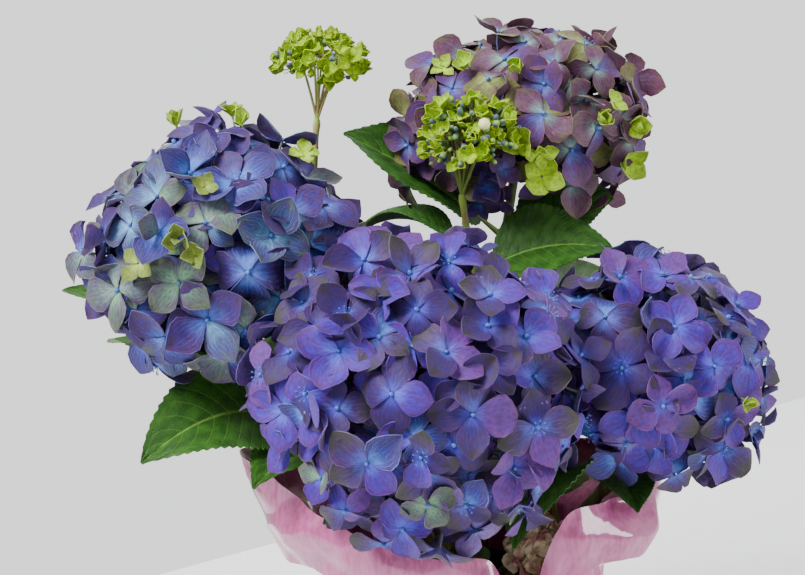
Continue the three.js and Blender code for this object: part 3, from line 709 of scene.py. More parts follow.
vein_at = blade.calc("DIVIDE", blade.calc("SUBTRACT", leaf_s, swept), vein_gap)
side_vein = blade.ease(blade.calc("PINGPONG", vein_at, 0.5), 0.075, 0.0)
midrib = blade.ease(leaf_w, 0.05, 0.012)
fade_out = blade.ease(leaf_w, 1.0, 0.45, 0.25, 1.0)
flat_uv = blade.node("CombineXYZ", leaf_w, blade.calc("MULTIPLY", leaf_s, 2.6)).outputs[0]
mesh_cells = blade.node("TexVoronoi", flat_uv, None, 24.0, feature="DISTANCE_TO_EDGE")
net = blade.ease(mesh_cells.outputs[0], 0.09, 0.0)
blotch = blade.node("TexNoise", flat_uv, None, 3.5, 3.0).outputs[0]
greens = blade.blend(blade.ease(blotch, 0.35, 0.68), (30, 70, 12), (50, 98, 22))
greens = blade.blend(blade.calc("MULTIPLY", net, 0.22), greens, (86, 132, 44))
veins = blade.calc("MULTIPLY", side_vein, blade.calc("MULTIPLY", fade_out, 0.38))
veins = blade.calc("MAXIMUM", veins, midrib)
greens = blade.blend(veins, greens, (100, 140, 56))
under_greens = blade.blend(veins, (112, 138, 84), (160, 178, 122))
leaf_tint = blade.blend(is_stalk, blade.blend(is_under, greens, under_greens), (132, 152, 74))
blade.put("Base Color", leaf_tint)
blade.put("Specular IOR Level", 0.28)
blade.bump(blade.calc("ADD", net, side_vein), 0.0004, 0.6)
leaves = [
    add_piece(f"blade_{k:02d}", leaf_shape(*row, k), blade, 60, "leaf", f"leaf_{k:02d}")
    for k, row in enumerate(leaf_rows, 1)
]


# Flower heads: round cymes of big four-sepal florets that overlap, each on its own thin
# pedicel from a branched green stem. The sepals are thin and matt, blue at the eye, violet
# beyond it and mauve or grey-green at the rim, with pale veins.
golden_angle = math.pi * (3 - math.sqrt(5))
head_cover = math.radians(132)
floret_radius, floret_sizes, floret_lean = 0.0193, (0.82, 1.08), 0.17
# How far out florets stand, how much less on each level below the first, and at random
floret_reach, level_drop, reach_scatter = 0.955, 0.05, 0.03
neighbour_depth, low_height, mixed_share = 0.9, -0.3, 0.4
facing_room, facing_turn, seen_drop = 0.62, 0.6, 0.03
small_reach, small_lean, small_turn = 1.04, 0.2, 0.35
# How a floret's sepals lie: how far they rise, curl along and cup across, each by its mean
# and spread, and how much they wave
open_habit = ((0.12, 0.16), (-0.5, 0.36), (0.2, 0.3), 0.2)
cupped_habit = ((0.6, 0.15), (0.3, 0.3), (0.45, 0.2), 0.15)
# A head's shells: each one's share of its size, and the spacing of its florets in millimetres
head_shells = ((1.0, 23.2), (0.79, 26), (0.60, 29))
sepal_rows = np.array([0, 0.1, 0.26, 0.44, 0.62, 0.8, 0.93, 1.0])
round_outline = (0.20, 0.42, 0.76, 0.98, 1.0, 0.80, 0.42, 0.05)
pointed_outline = (0.14, 0.34, 0.70, 1.0, 0.92, 0.55, 0.20, 0.02)
fine_grid = (sepal_rows, np.array([-1, -0.7, -0.35, 0, 0.35, 0.7, 1.0]))
coarse_grid = (np.array([0, 0.2, 0.45, 0.7, 0.9, 1.0]), np.array([-1, -0.5, 0, 0.5, 1.0]))
sepal_thickness, sepal_lengths, sepal_widths = 0.00035, (0.86, 1.04), (0.47, 0.57)
# How much the four sepals of a floret differ, how many of them stand up, and how steeply
turn_scatter, point_scatter, rise_scatter = 0.07, 0.22, 0.2
curl_scatter, cup_scatter, twist_scatter = 0.28, 0.22, 0.16
stand_up_share, stand_up_rise = 0.1, (0.4, 1.0)
tile_columns, tile_half, tile_foot, tile_height = 4, 0.44, 0.04, 0.92
# One tile each: eye, middle, rim, wash and vein colours, then the size of the eye's glow,
# the wash and the veins
sepal_tiles = [
    ((76, 90, 216), (57, 27, 162), (80, 20, 126), (58, 40, 44), (104, 86, 218), 0.43, 0.52, 0.40),
    ((60, 60, 182), (35, 13, 98), (55, 13, 76), (36, 32, 18), (78, 48, 152), 0.36, 0.88, 0.34),
    ((76, 72, 188), (74, 36, 134), (100, 44, 126), (84, 56, 78), (120, 78, 174), 0.36, 0.50, 0.32),
    ((76, 92, 192), (52, 33, 112), (70, 32, 80), (48, 48, 18), (106, 98, 156), 0.46, 1.00, 0.50),
    ((104, 158, 200), (32, 50, 122), (60, 16, 88), (50, 74, 58), (128, 176, 200), 0.62, 0.70, 0.78),
    ((84, 130, 220), (34, 32, 140), (54, 12, 94), (48, 56, 88), (116, 150, 216), 0.54, 0.50, 0.68),
    ((118, 160, 130), (60, 88, 76), (80, 50, 96), (80, 102, 48), (138, 168, 126), 0.60, 0.90, 0.60),
    ((78, 108, 204), (44, 20, 112), (64, 12, 84), (50, 36, 44), (104, 112, 186), 0.50, 0.60, 0.58),
    ((120, 156, 152), (78, 38, 78), (90, 28, 68), (76, 72, 28), (142, 150, 124), 0.48, 0.85, 0.46),
    ((82, 104, 180), (66, 34, 110), (86, 26, 80), (72, 54, 42), (110, 106, 156), 0.44, 0.65, 0.46),
    ((140, 158, 80), (88, 94, 36), (94, 46, 60), (100, 112, 24), (144, 156, 78), 0.60, 0.90, 0.50),
    ((200, 236, 30), (160, 208, 4), (136, 160, 10), (122, 162, 2), (208, 238, 50), 0.60, 0.45, 0.35),
    ((110, 102, 180), (90, 70, 146), (110, 70, 136), (96, 94, 88), (128, 108, 172), 0.40, 0.60, 0.40),
    ((132, 160, 146), (70, 88, 98), (74, 38, 92), (76, 98, 48), (144, 164, 146), 0.55, 0.75, 0.58),
    ((120, 102, 130), (106, 68, 98), (110, 52, 84), (96, 84, 54), (132, 106, 126), 0.50, 0.65, 0.40),
    ((170, 192, 78), (124, 148, 38), (104, 118, 44), (92, 118, 30), (176, 196, 96), 0.55, 0.50, 0.40),
]
lime_tile = 11
# For each head: its sepals' tiles, those low down, how pointed they are, and their backs' tile
head_looks = {
    "front": ((0, 0, 1, 1, 2, 3, 5), (3, 2, 12, 6, 1), 0.45, 12),
    "right": ((0, 3, 1, 2, 3, 5, 0, 5), (1, 3, 12, 5), 0.35, 12),
    "left": ((4, 7, 7, 13, 6, 0, 5, 7), (5, 7, 13, 4), 0.75, 12),
    "top": ((8, 9, 8, 9, 10, 8), (8, 9, 10, 14), 0.5, 14),
    "back": ((0, 1, 2, 7, 3), (3, 12, 1), 0.4, 12),
}
# How much larger than the rest a head's florets are
floret_scale = {"left": 1.14}
# The side on which a head is less full than its solid, by how much, and from where on
head_slack = {
    "left": ((-1, 0, 0.1), 0.2, 0.15), "top": ((-0.1, 0, 1), 0.09, 0.15),
    "right": ((0.9, 0, 0.3), 0.08, 0.15), "front": ((-0.8, 0, -0.6), 0.36, 0.62),
}
# Florets that the photograph shows face on, each by the pixel of its eye: across, down,
# the turn of its first sepal in degrees, its tile and its size
facing_florets = {
    "front": (
        (392, 394, 83, 1, 1.1), (334, 348, 78, 0, 1.08), (378, 335, 60, 3, 0.95), (395, 250, 65, 2, 1.05),
        (449, 263, 100, 0, 1.0), (412, 343, 60, 0, 0.9), (446, 352, 50, 3, 1.05), (417, 310, 10, 1, 1.0),
        (277, 411, -2, 0, 1.08), (335, 409, 20, 1, 0.9), (367, 463, 40, 3, 1.1), (474, 415, -5, 1, 1.15),
        (456, 448, 60, 1, 1.0), (529, 335, 40, 0, 1.0), (495, 365, 15, 1, 0.95), (537, 427, 10, 3, 1.05),
        (505, 280, 10, 1, 1.05), (548, 300, 75, 0, 0.95), (383, 291, -20, 0, 0.9), (402, 537, 10, 0, 1.0),
        (318, 480, 75, 6, 0.75), (428, 508, 30, 6, 0.8), (500, 502, 20, 3, 0.85), (517, 470, 50, 2, 0.95),
        (300, 300, 40, 3, 0.95), (262, 375, 20, 2, 0.95), (466, 505, 60, 12, 0.8), (345, 510, 35, 2, 0.85),
    ),
    "right": (
        (622, 368, 65, 1, 1.15), (604, 316, 92, 3, 1.0), (675, 326, 60, 0, 1.0), (702, 320, 45, 3, 1.1),
        (714, 366, 50, 0, 1.0), (750, 359, 65, 0, 1.0), (692, 404, 85, 0, 1.0), (634, 416, 30, 0, 1.0),
        (592, 433, 60, 1, 1.0), (655, 451, 10, 0, 0.95), (675, 478, 80, 3, 0.9), (712, 272, 20, 1, 1.0),
        (662, 272, 130, 0, 0.85), (620, 278, 30, 2, 0.9), (735, 305, 70, 0, 0.9), (728, 420, 20, 1, 0.85),
    ),
    "left": (
        (248, 272, 5, 5, 1.12), (275, 234, 60, 4, 0.95), (314, 246, 45, 5, 1.1), (154, 193, 100, 4, 0.95),
        (190, 171, 70, 5, 1.0), (238, 182, 40, 5, 1.05), (207, 322, 35, 7, 1.1), (165, 337, 30, 5, 1.1),
        (108, 290, 60, 5, 0.9), (177, 285, 50, 6, 0.9), (160, 232, 80, 5, 0.9), (205, 222, 55, 6, 0.95),
        (222, 205, 15, 7, 0.95), (322, 205, 45, 7, 1.0), (128, 225, 20, 4, 0.85), (285, 165, 60, 7, 0.95),
        (285, 300, 35, 4, 0.95), (130, 315, 10, 7, 0.9), (215, 150, 35, 7, 0.95), (84, 252, 50, 13, 0.95),
    ),
    "top": (
        (543, 114, 45, 8, 1.12), (574, 152, 10, 9, 1.1), (460, 57, 60, 10, 1.0), (504, 58, 95, 9, 1.1),
        (545, 82, 30, 9, 0.95), (587, 100, 50, 8, 0.95), (574, 186, 80, 8, 1.05), (418, 152, 20, 10, 1.0),
        (422, 180, 60, 9, 0.9), (450, 88, 35, 9, 0.9), (630, 140, 50, 8, 0.9), (560, 40, 30, 8, 0.95),
        (525, 38, 70, 8, 0.95), (500, 110, 30, 10, 0.95), (600, 66, 10, 8, 0.9), (485, 180, 35, 9, 0.9),
        (412, 118, 40, 10, 0.95), (408, 150, 75, 9, 0.95), (438, 192, 10, 7, 0.9), (455, 165, 60, 8, 0.9),
    ),
}
# Small cupped florets that are still lime or olive, and dark ones that close a head from
# below, by pixel, with their size and tile
small_florets = {
    "right": ((742, 399, 0.35, 11),),
    "left": (
        (142, 263, 0.6, 15), (183, 240, 0.6, 15), (196, 256, 0.5, 15), (300, 160, 0.5, 11),
        (178, 131, 0.5, 11), (232, 122, 0.5, 11), (240, 130, 0.45, 11), (205, 190, 0.4, 15),
    ),
    "top": (
        (596, 118, 0.6, 11), (627, 125, 0.6, 11), (620, 160, 0.75, 11), (539, 152, 0.5, 11),
        (541, 174, 0.8, 11), (516, 71, 0.5, 11), (470, 68, 0.5, 11), (446, 71, 0.45, 11),
        (520, 140, 0.7, 11), (610, 103, 0.45, 11), (489, 184, 0.7, 7), (503, 168, 0.65, 9),
        (481, 200, 0.55, 7), (500, 196, 0.6, 9),
    ),
}
eye_widths, eye_rise, open_share = (0.0019, 0.0028), 0.0010, 0.45
thread_count, thread_radius, thread_spread, thread_height = 8, 0.00011, 0.0034, 0.0036
anther_width = 0.0009
fork_count, fork_cover, fork_reach, hub_share = 13, math.radians(105), 0.42, 0.1
# How far branches bow out and rise, their radii from foot to fork, how far the stalks come
# in under the florets, and their radii
cyme_build = (0.35, 0.006, (0.0020, 0.0014), 0.4, (0.0010, 0.0007))
steps = np.linspace(0, 1, 6)
# How far a floret may move out of a leaf's way, and one seen face on toward the viewer
moves_out, moves_nearer = (0, 0.004, 0.008, 0.012), (0.01, 0.018, 0.026)


def fullness(name, way):
    """How full a head is in the given directions, 1 where it fills its solid."""
    side, slack, start = head_slack.get(name, ((0, 0, 1), 0, 0))
    return 1 - slack * np.maximum(0, way @ unit(side) - start) / (1 - start)


def seen_on_head(name, pixels):
    """Where the lines of sight through pixels first meet a head, or pass nearest to it, as
    directions from its middle and shares of its radii."""
    centre, radii = metres(heads[name][0]), metres(heads[name][1])
    up = Vector((0, math.sin(look_down), math.cos(look_down)))
    eye = np.array(view_middle + view_distance * view_back)
    ways, depths = [], []
    for across, down in pixels:
        sight = -view_back * frame_focal + Vector((across - frame_width / 2, 0, 0))
        sight += up * (frame_height / 2 - down)
        line = (eye + np.linspace(0.5, 1.1, 1201)[:, None] * unit(sight) - centre) / radii
        depth = np.linalg.norm(line, axis=1)
        way = line / depth[:, None]
        fill = depth / (0.93 * fullness(name, way))
        first = np.argmin(fill) if fill.min() > 1 else np.argmax(fill <= 1)
        ways.append(way[first])
        depths.append(depth[first])
    return np.reshape(ways, (-1, 3)), np.array(depths)


def sepal_group():
    """The sepals' colour, from the tile and the place in it that the piece's UV gives."""
    group = Group("sepal_colour", {"UV": "Vector"}, {"Colour": "Color", "Relief": "Float"})
    calc, ease, blend, node = group.calc, group.ease, group.blend, group.node

    def times(first, second):
        return calc("MULTIPLY", first, second)

    split = node("SeparateXYZ", group.given[0])
    u, v = times(split.outputs[0], tile_columns), times(split.outputs[1], tile_columns)
    tile = calc("MULTIPLY_ADD", calc("FLOOR", v), tile_columns, calc("FLOOR", u))
    share = calc("DIVIDE", calc("ADD", tile, 0.5), len(sepal_tiles))
    w = calc("DIVIDE", calc("SUBTRACT", calc("FRACT", u), 0.5), tile_half)
    s = calc("DIVIDE", calc("SUBTRACT", calc("FRACT", v), tile_foot), tile_height)

    def dealt(colours):
        ramp = node("ValToRGB", share)
        ramp.color_ramp.interpolation = "CONSTANT"
        stops = ramp.color_ramp.elements
        for k, colour in enumerate(colours):
            stop = stops[k] if k < 2 else stops.new(k / len(colours))
            stop.position = k / len(colours)
            stop.color = colour
        return ramp.outputs[0]

    tints = (dealt([linear(row[k]) for row in sepal_tiles]) for k in range(5))
    eye, middle, rim, wash, vein_tint = tints
    traits = node("SeparateColor", dealt([(*row[5:8], 1) for row in sepal_tiles])).outputs
    across = calc("ABSOLUTE", w)
    seat = node("CombineXYZ", times(w, 1.2), times(s, 1.6), tile).outputs[0]

    def clouds(scale, detail):
        return node("TexNoise", seat, None, scale, detail).outputs[0]

    blotch, shade = clouds(1.7, 2.0), clouds(4.0, 4.0)
    glow = calc("SUBTRACT", 1.0, calc("DIVIDE", s, traits[0]))
    glow = times(ease(glow, 0.0, 1.0), ease(across, 1.25, 0.2))
    to_rim = calc("MAXIMUM", calc("POWER", across, 1.8), calc("POWER", s, 2.4))
    to_rim = times(ease(to_rim, 0.05, 1.0), ease(s, 0.05, 0.45))
    colour = blend(ease(blotch, 0.38, 0.62, 0.0, 0.6), middle, rim)
    colour = blend(to_rim, blend(glow, colour, eye), rim)
    # The wash comes in blotches toward the tip, and covers the tips of the most washed tiles
    washed = times(times(ease(blotch, 0.42, 0.62), ease(s, 0.3, 0.95)), traits[1])
    tip = ease(calc("MULTIPLY_ADD", blotch, 0.5, s), 0.72, 1.1, 0.0, 0.9)
    colour = blend(calc("MAXIMUM", washed, times(tip, ease(traits[1], 0.8, 1.0))), colour, wash)
    fan = calc("MULTIPLY_ADD", w, 4.5, times(clouds(3.0, 2.0), 0.8))
    coarse = times(ease(calc("PINGPONG", fan, 0.5), 0.1, 0.0), ease(s, 1.0, 0.3))
    fine = ease(calc("PINGPONG", times(fan, 2.6), 0.5), 0.2, 0.0)
    veins = calc("MAXIMUM", coarse, times(fine, ease(s, 0.2, 0.6, 0.0, 0.45)))
    veins = times(veins, ease(clouds(22.0, 3.0), 0.38, 0.56, 0.25, 1.0))
    colour = blend(times(veins, traits[2]), colour, vein_tint)
    # A thin pale margin on each sepal, which also stands as a painted edge highlight where light catches
    # the raised edges
    pale_margin_and_edge_highlight = calc("MAXIMUM", across, ease(s, 0.9, 1.0))
    colour = blend(ease(pale_margin_and_edge_highlight, 0.95, 1.0, 0.0, 0.4), colour, vein_tint)
    colour = blend(ease(shade, 0.4, 0.66, 0.0, 0.4), colour, (30, 18, 52))
    group.fill(group.result, (colour, calc("MULTIPLY_ADD", shade, 2.5, veins)))
    return group.tree


sepal_colour = sepal_group()


def sepal_finish(name, roughness, gloss, bloom):
    finish = Finish(name, (90, 80, 170), roughness)
    uv = finish.node("UVMap", uv_map="OFBake").outputs[0]
    colour, relief = finish.node("Group", uv, node_tree=sepal_colour).outputs
    finish.put("Base Color", colour)
    finish.bump(relief, 0.0003, 0.5)
    finish.put("Specular IOR Level", gloss)
    finish.put("Sheen Weight", bloom)
    finish.put("Sheen Roughness", 0.4)
    return finish


def floret_habit(chance, count, rise, curl, cup, wave):
    """Each floret's own rise, curl and cup, and how much the sepals wave."""
    return [chance.normal(*trait, (count, 1)) for trait in (rise, curl, cup)] + [wave]


def sepals(centre, normal, spin, size, habit, tiles, back_tiles, pointed, grid, chance):
    """Closed sepals, four to a floret, as points, quads and UV."""
    count, four, (s, w) = len(centre), (len(centre), 4), grid
    lead = np.where(np.abs(normal[:, 2:3]) > 0.95, np.array([1.0, 0, 0]), np.array([0, 0, 1.0]))
    side = unit(np.cross(lead, normal))
    other = np.cross(normal, side)
    lay = np.arange(4)
    yaw = (spin[:, None] + lay * np.pi / 2 + chance.normal(0, turn_scatter, four))[..., None]
    out = np.cos(yaw) * side[:, None] + np.sin(yaw) * other[:, None]
    over = np.cross(normal[:, None], out)
    length = size[:, None] * chance.uniform(*sepal_lengths, four) * np.where(lay % 2, 0.97, 1.03)
    pointed = np.clip(pointed + chance.normal(0, point_scatter, (count, 4, 1)), 0, 1)
    half_width = length * chance.uniform(*sepal_widths, four) * (1 - 0.14 * pointed[..., 0])
    rise = habit[0] + chance.normal(0, rise_scatter, four)
    stands_up, steepness = chance.random(four) < stand_up_share, chance.uniform(*stand_up_rise, four)
    rise = rise + np.where(stands_up, steepness, 0)
    curl = habit[1] + chance.normal(0, curl_scatter, four)
    cup = habit[2] + chance.normal(0, cup_scatter, four)
    wave = np.abs(chance.normal(0, habit[3], four))
    twist = chance.normal(0, twist_scatter, four)
    phase = chance.uniform(0, 6.28, four)
    # Up the sepal: its slope, how far out and how high it has come, and how wide it is
    angle = rise[..., None] + curl[..., None] * s
    step = np.diff(s, prepend=0) * length[..., None]
    run = np.cumsum(np.cos(angle) * step, -1) + 0.05 * size[:, None, None]
    height = np.cumsum(np.sin(angle) * step, -1) + 0.0005 * (lay % 2)[:, None]
    outline = (1 - pointed) * np.interp(s, sepal_rows, round_outline)
    outline = outline + pointed * np.interp(s, sepal_rows, pointed_outline)
    half = (half_width[..., None] * outline)[..., None]
    # Across it: cupped, waved at the edges, twisted, and creased along the middle
    y = half * w * (1 - 0.12 * w**2)
    dish = half * cup[..., None, None] * (0.3 * w**2 + 0.28 * np.sqrt(w**2 + 0.02))
    ripple = wave[..., None] * np.sin(5.0 * s + phase[..., None])
    dish = dish + half * ripple[..., None] * w * np.abs(w)
    dish = dish + half * (twist[..., None] * s)[..., None] * w
    dish = dish - 0.05 * half * np.exp(-((w / 0.2) ** 2)) * np.minimum(1, 3 * (1 - s))[:, None]
    sine, cosine = np.sin(angle)[..., None], np.cos(angle)[..., None]
    middle = (
        centre[:, None, None, None]
        + (run[..., None] - dish * sine)[..., None] * out[:, :, None, None]
        + y[..., None] * over[:, :, None, None]
        + (height[..., None] + dish * cosine)[..., None] * normal[:, None, None, None]
    )
    face = unit(np.cross(np.gradient(middle, axis=2), np.gradient(middle, axis=3)))
    rows, columns = len(s), len(w)
    block = rows * columns
    points = np.stack([middle + reach * sepal_thickness * face for reach in (0.5, -0.5)], 2)
    # The faces look the other way from a leaf's, so each quad is turned over
    front, back, rim = blade_quads(rows, columns)
    front, back, rim = front[:, ::-1], back[:, ::-1], rim[:, [1, 0, 3, 2]]
    one = np.concatenate([front, back, rim])
    quads = one[None] + (np.arange(count * 4) * 2 * block)[:, None, None]
    u_in = (0.5 + tile_half * np.broadcast_to(w, (rows, columns))).ravel()
    v_in = tile_foot + tile_height * np.repeat(s, columns)

    def tiled(tile, part):
        tile = tile if np.ndim(tile) == 2 else np.reshape(tile, (-1, 1))
        tile = np.broadcast_to(tile, four).reshape(-1, 1)
        spots = np.stack([tile % tile_columns + u_in, tile // tile_columns + v_in], -1)
        return (spots / tile_columns)[:, part % block]

    uv = [tiled(tiles, front), tiled(back_tiles, back), tiled(tiles, rim)]
    uv = np.concatenate(uv, 1)
    return points.reshape(-1, 3), quads.reshape(-1, 4), uv.reshape(-1, 2)


# A round bead of 24 quads, one across
ball = bmesh.new()
bmesh.ops.create_cube(ball, size=1)
bmesh.ops.subdivide_edges(ball, edges=ball.edges[:], cuts=1, use_grid_fill=True)
bead_points = np.array([corner.co.normalized() * 0.5 for corner in ball.verts])
bead_quads = np.array([[corner.index for corner in face.verts] for face in ball.faces])
ball.free()


def beads(centres, widths, stretch=None):
    """Round beads of the given widths, longer along a direction if one is given."""
    points = bead_points[None] * np.reshape(widths, (-1, 1, 1))
    if stretch is not None:
        points = points + 0.5 * np.einsum("bpc,bc->bp", points, stretch)[..., None] * stretch[:, None]
    points = points + centres[:, None]
    quads = bead_quads[None] + (np.arange(len(centres)) * len(bead_points))[:, None, None]
    return points.reshape(-1, 3), quads.reshape(-1, 4)


def spread(axis, cover, count, chance, jitter=0.5):
    """Directions at even spacing over a cap of the sphere, on a golden-angle spiral."""
    k = np.arange(count)
    height = 1 - (1 - math.cos(cover)) * (k + 0.5) / count
    level = np.sqrt(1 - height**2)
    turn = k * golden_angle + jitter * (chance.random(count) - 0.5)
    upright = np.array(Vector((0, 0, 1)).rotation_difference(Vector(axis)).to_matrix())
    return np.stack([level * np.cos(turn), level * np.sin(turn), height], -1) @ upright.T


# The leaves and canes, which no floret touches
corners, faces = [], []
for piece in leaves + canes:
    faces += [[k + len(corners) for k in face.vertices] for face in piece.data.polygons]
    corners += [corner.co.copy() for corner in piece.data.vertices]
greenery = BVHTree.FromPolygons(corners, faces)


def is_clear(centre, normal, size, room=0.0015):
    """Whether a floret there keeps its distance from the leaves and canes."""
    centre, normal = Vector(centre), Vector(normal)
    side = normal.cross(Vector((0, 0, 1)) if abs(normal.z) < 0.9 else Vector((1, 0, 0))).normalized()
    other = normal.cross(side)
    ring = [math.cos(k * math.pi / 4) * side + math.sin(k * math.pi / 4) * other for k in range(8)]
    spots = [centre + 0.6 * float(size) * way for way in ring] + [centre]
    return all(greenery.find_nearest(spot, room)[0] is None for spot in spots)


def stand(name, way, reach, lean, toward, chance):
    """The places and normals of florets that stand on a head in the given directions, and
    lean about and toward the viewer."""
    centre, radii, axis, _ = heads[name]
    normal = 0.88 * unit(way / np.array(radii)) + 0.12 * unit(axis)
    normal = normal + chance.normal(0, lean, (len(way), 3))
    normal = normal + np.reshape(toward, (-1, 1)) * np.array(view_back)
    return metres(centre) + way * metres(radii) * reach[:, None], unit(normal)


def levels(way, gap, chance):
    """A level of 0, 1 or 2 for each floret, unlike its neighbours', so that they overlap."""
    level = np.zeros(len(way), int)
    for k in range(1, len(way)):
        near = np.exp(-1.5 * (np.linalg.norm(way[:k] - way[k], axis=1) / gap) ** 2)
        crowding = [near[level[:k] == step].sum() + 0.1 * chance.random() for step in range(3)]
        level[k] = np.argmin(crowding)
    return level


def shell(name, share, pitch, chance):
    """The florets on one shell of a head: on the outer one those seen face on, and between
    them those that the rule deals out. One that would touch a leaf, a cane or the next head
    is left out. Gives their places, normals, sizes, spins, tiles and levels."""
    _, radii, axis, _ = heads[name]
    tile_choice, low_choice = head_looks[name][:2]
    scale = floret_scale.get(name, 1.0)
    mean, pitch = np.cbrt(np.prod(radii)) * share, pitch * scale**0.85
    count = round(2 * math.pi * mean**2 * (1 - math.cos(head_cover)) / pitch**2)
    way = spread(unit(axis), head_cover, count, chance)
    size, spin = chance.uniform(*floret_sizes, count), chance.uniform(0, math.pi / 2, count)
    low, high = chance.choice(low_choice, count), chance.choice(tile_choice, count)
    base = np.where(way[:, 2] < low_height, low, high)
    facing = np.reshape(facing_florets.get(name, ()) if share == 1.0 else (), (-1, 5))
    seen, seen_reach = seen_on_head(name, facing[:, :2])
    if len(seen):
        apart = np.linalg.norm(way[:, None] - seen[None], axis=-1).min(1) * mean > facing_room * pitch
        way = np.concatenate([seen, way[apart]])
        size = np.concatenate([facing[:, 4], size[apart]])
        spin = np.concatenate([np.radians(facing[:, 2]), spin[apart]])
        base = np.concatenate([facing[:, 3].astype(int), base[apart]])
    is_seen = np.arange(len(way)) < len(seen)
    level = levels(way, pitch / mean, chance)
    reach = floret_reach - level_drop * level - reach_scatter * chance.random(len(way))
    reach = share * reach * fullness(name, way)
    reach[is_seen] = seen_reach * (1 - seen_drop * level[is_seen])
    place, normal = stand(name, way, reach, floret_lean, facing_turn * is_seen, chance)
    size = floret_radius * scale * size
    keep = np.ones(len(way), bool)
    for other, (centre, radii, _, _) in heads.items():
        if other != name:
            keep &= np.linalg.norm((place - metres(centre)) / metres(radii), axis=1) >= neighbour_depth
    for k in np.flatnonzero(keep):
        moves = [move * normal[k] for move in moves_out]
        if is_seen[k]:
            moves += [move * np.array(view_back) for move in moves_nearer]
        spots = (place[k] + move for move in moves)
        clear = next((spot for spot in spots if is_clear(spot, normal[k], size[k])), None)
        keep[k] = clear is not None
        place[k] = clear if keep[k] else place[k]
    four = (len(way), 4)
    is_mixed, others = chance.random(four) < mixed_share, chance.choice(tile_choice, four)
    mixed = np.where(is_mixed, others, base[:, None])
    return [trait[keep] for trait in (place, normal, size, spin, mixed, level)]


def stalks(base, axis, forks, feet, ways, build):
    """Branches from the base to the forks, and a thin stalk to each floret from its nearest."""
    bow, rise, branch_radii, bend, stalk_radii = build
    branches = bezier(base, base + bow * (forks - base) + rise * axis, forks, steps)
    start = forks[np.argmin(np.linalg.norm(feet[:, None] - forks[None], axis=-1), axis=1)]
    under = feet - bend * np.linalg.norm(feet - start, axis=1, keepdims=True) * ways
    return (
        rods(branches, np.linspace(*branch_radii, len(steps)), 6),
        rods(bezier(start, under, feet, steps), np.linspace(*stalk_radii, len(steps)), 4),
    )


violet = sepal_finish("sepal_violet", 0.6, 0.35, 0.12)
eye_blue = Finish("floret_eye", (80, 130, 215), 0.45)
eye_blue.put("Base Color", eye_blue.blend(eye_blue.grain(700, 2), (40, 70, 160), (96, 132, 196)))
stalk_green = Finish("pedicel_skin", (122, 138, 108), 0.6)
flushed = stalk_green.ease(stalk_green.grain(60, 3), 0.35, 0.65)
stalk_green.put("Base Color", stalk_green.blend(flushed, (128, 142, 96), (104, 104, 150)))
stalk_green.bump(stalk_green.grain(900, 2), 0.0002)
for name, (centre, radii, axis, seed) in heads.items():
    chance = np.random.default_rng(seed)
    _, _, pointed, back_tile = head_looks[name]
    axis, middle = unit(axis), metres(centre)
    parts, feet, ways, outermost = [], [], [], None
    for share, pitch in head_shells:
        place, normal, size, spin, tiles, level = shell(name, share, pitch, chance)
        outermost = outermost or (place, normal, level)
        habit = floret_habit(chance, len(place), *open_habit)
        grid = fine_grid if share == 1.0 else coarse_grid
        parts.append(sepals(place, normal, spin, size, habit, tiles, back_tile, pointed, grid, chance))
        feet.append(place)
        ways.append(normal)
    if name in small_florets:
        small = np.array(small_florets[name])
        way, reach = seen_on_head(name, small[:, :2])
        place, normal = stand(name, way, small_reach * reach, small_lean, small_turn, chance)
        habit = floret_habit(chance, len(place), *cupped_habit)
        size, tiles = floret_radius * small[:, 2], small[:, 3].astype(int)
        spin = chance.uniform(0, 1.5, len(small))
        parts.append(sepals(place, normal, spin, size, habit, tiles, tiles, 0.8, coarse_grid, chance))
        feet.append(place)
        ways.append(normal)
    slot = "petal_mauve" if name == "top" else "petal_violet"
    add_piece(f"blossom_{name}", join_shapes(*parts), violet, 60, slot, f"head_{name}")

    # The eye: a pale bead of unopened petals, and on some florets a ring of stamens
    place, normal, level = outermost
    unopened = beads(place + eye_rise * normal, chance.uniform(*eye_widths, len(place)), normal)
    is_open = (chance.random(len(place)) < open_share) & (level == 0)
    place, normal = place[is_open], normal[is_open]
    turn = chance.uniform(0, 6.28, (len(place), 1))
    turn = turn + np.arange(thread_count) * 2 * math.pi / thread_count
    side = unit(np.cross(normal, [0.3, 0.2, 0.9]))
    other = np.cross(normal, side)
    fan = np.cos(turn)[..., None] * side[:, None] + np.sin(turn)[..., None] * other[:, None]
    tips = place[:, None] + thread_spread * fan + thread_height * normal[:, None]
    tips = tips.reshape(-1, 3)
    threads = np.linspace(np.repeat(place, thread_count, 0), tips, 3, axis=1)
    stamens = (rods(threads, thread_radius, 4), beads(tips, np.full(len(tips), anther_width)))
    add_piece(f"eyes_{name}", join_shapes(unopened, *stamens), eye_blue, 80, "floret_eye")

    # The cyme: branches from the top of the cane to a ring of forks, and a pedicel from the
    # nearest fork to each floret
    feet, ways = np.concatenate(feet), np.concatenate(ways)
    tip = cane_end(name)[0]
    hub = tip + hub_share * radii[2] / 1000 * axis
    forks = middle + spread(axis, fork_cover, fork_count, chance) * metres(radii) * fork_reach
    stem = rods(np.linspace(tip - 0.002 * axis, hub + 0.002 * axis, 4)[None], cane_tip_radius, 8)
    cyme = join_shapes(*stalks(hub, axis, forks, feet, ways, cyme_build), stem)
    add_piece(f"cyme_{name}", cyme, stalk_green, 70, "cane")


# Young corymbs: two open sprays that haven't coloured yet. From a fork at the top of a cane,
# rays lead to small cupped lime florets with pointed sepals, with round buds between them.
corymb_lean, corymb_scatter, corymb_cover = 0.4, 0.22, math.acos(1 - 1.3)
ray_cover, ray_reach = math.radians(88), 0.5
bud_widths, young_habit = (0.0022, 0.0040), ((0.75, 0.22), (0.35, 0.3), (0.5, 0.2), 0.12)
ray_build = (0.45, 0.004, (0.0009, 0.0006), 0.45, (0.00035, 0.00035))
cream_bud_place, cream_bud_width = metres([(8.0, -28, 409.5)]), 0.0066
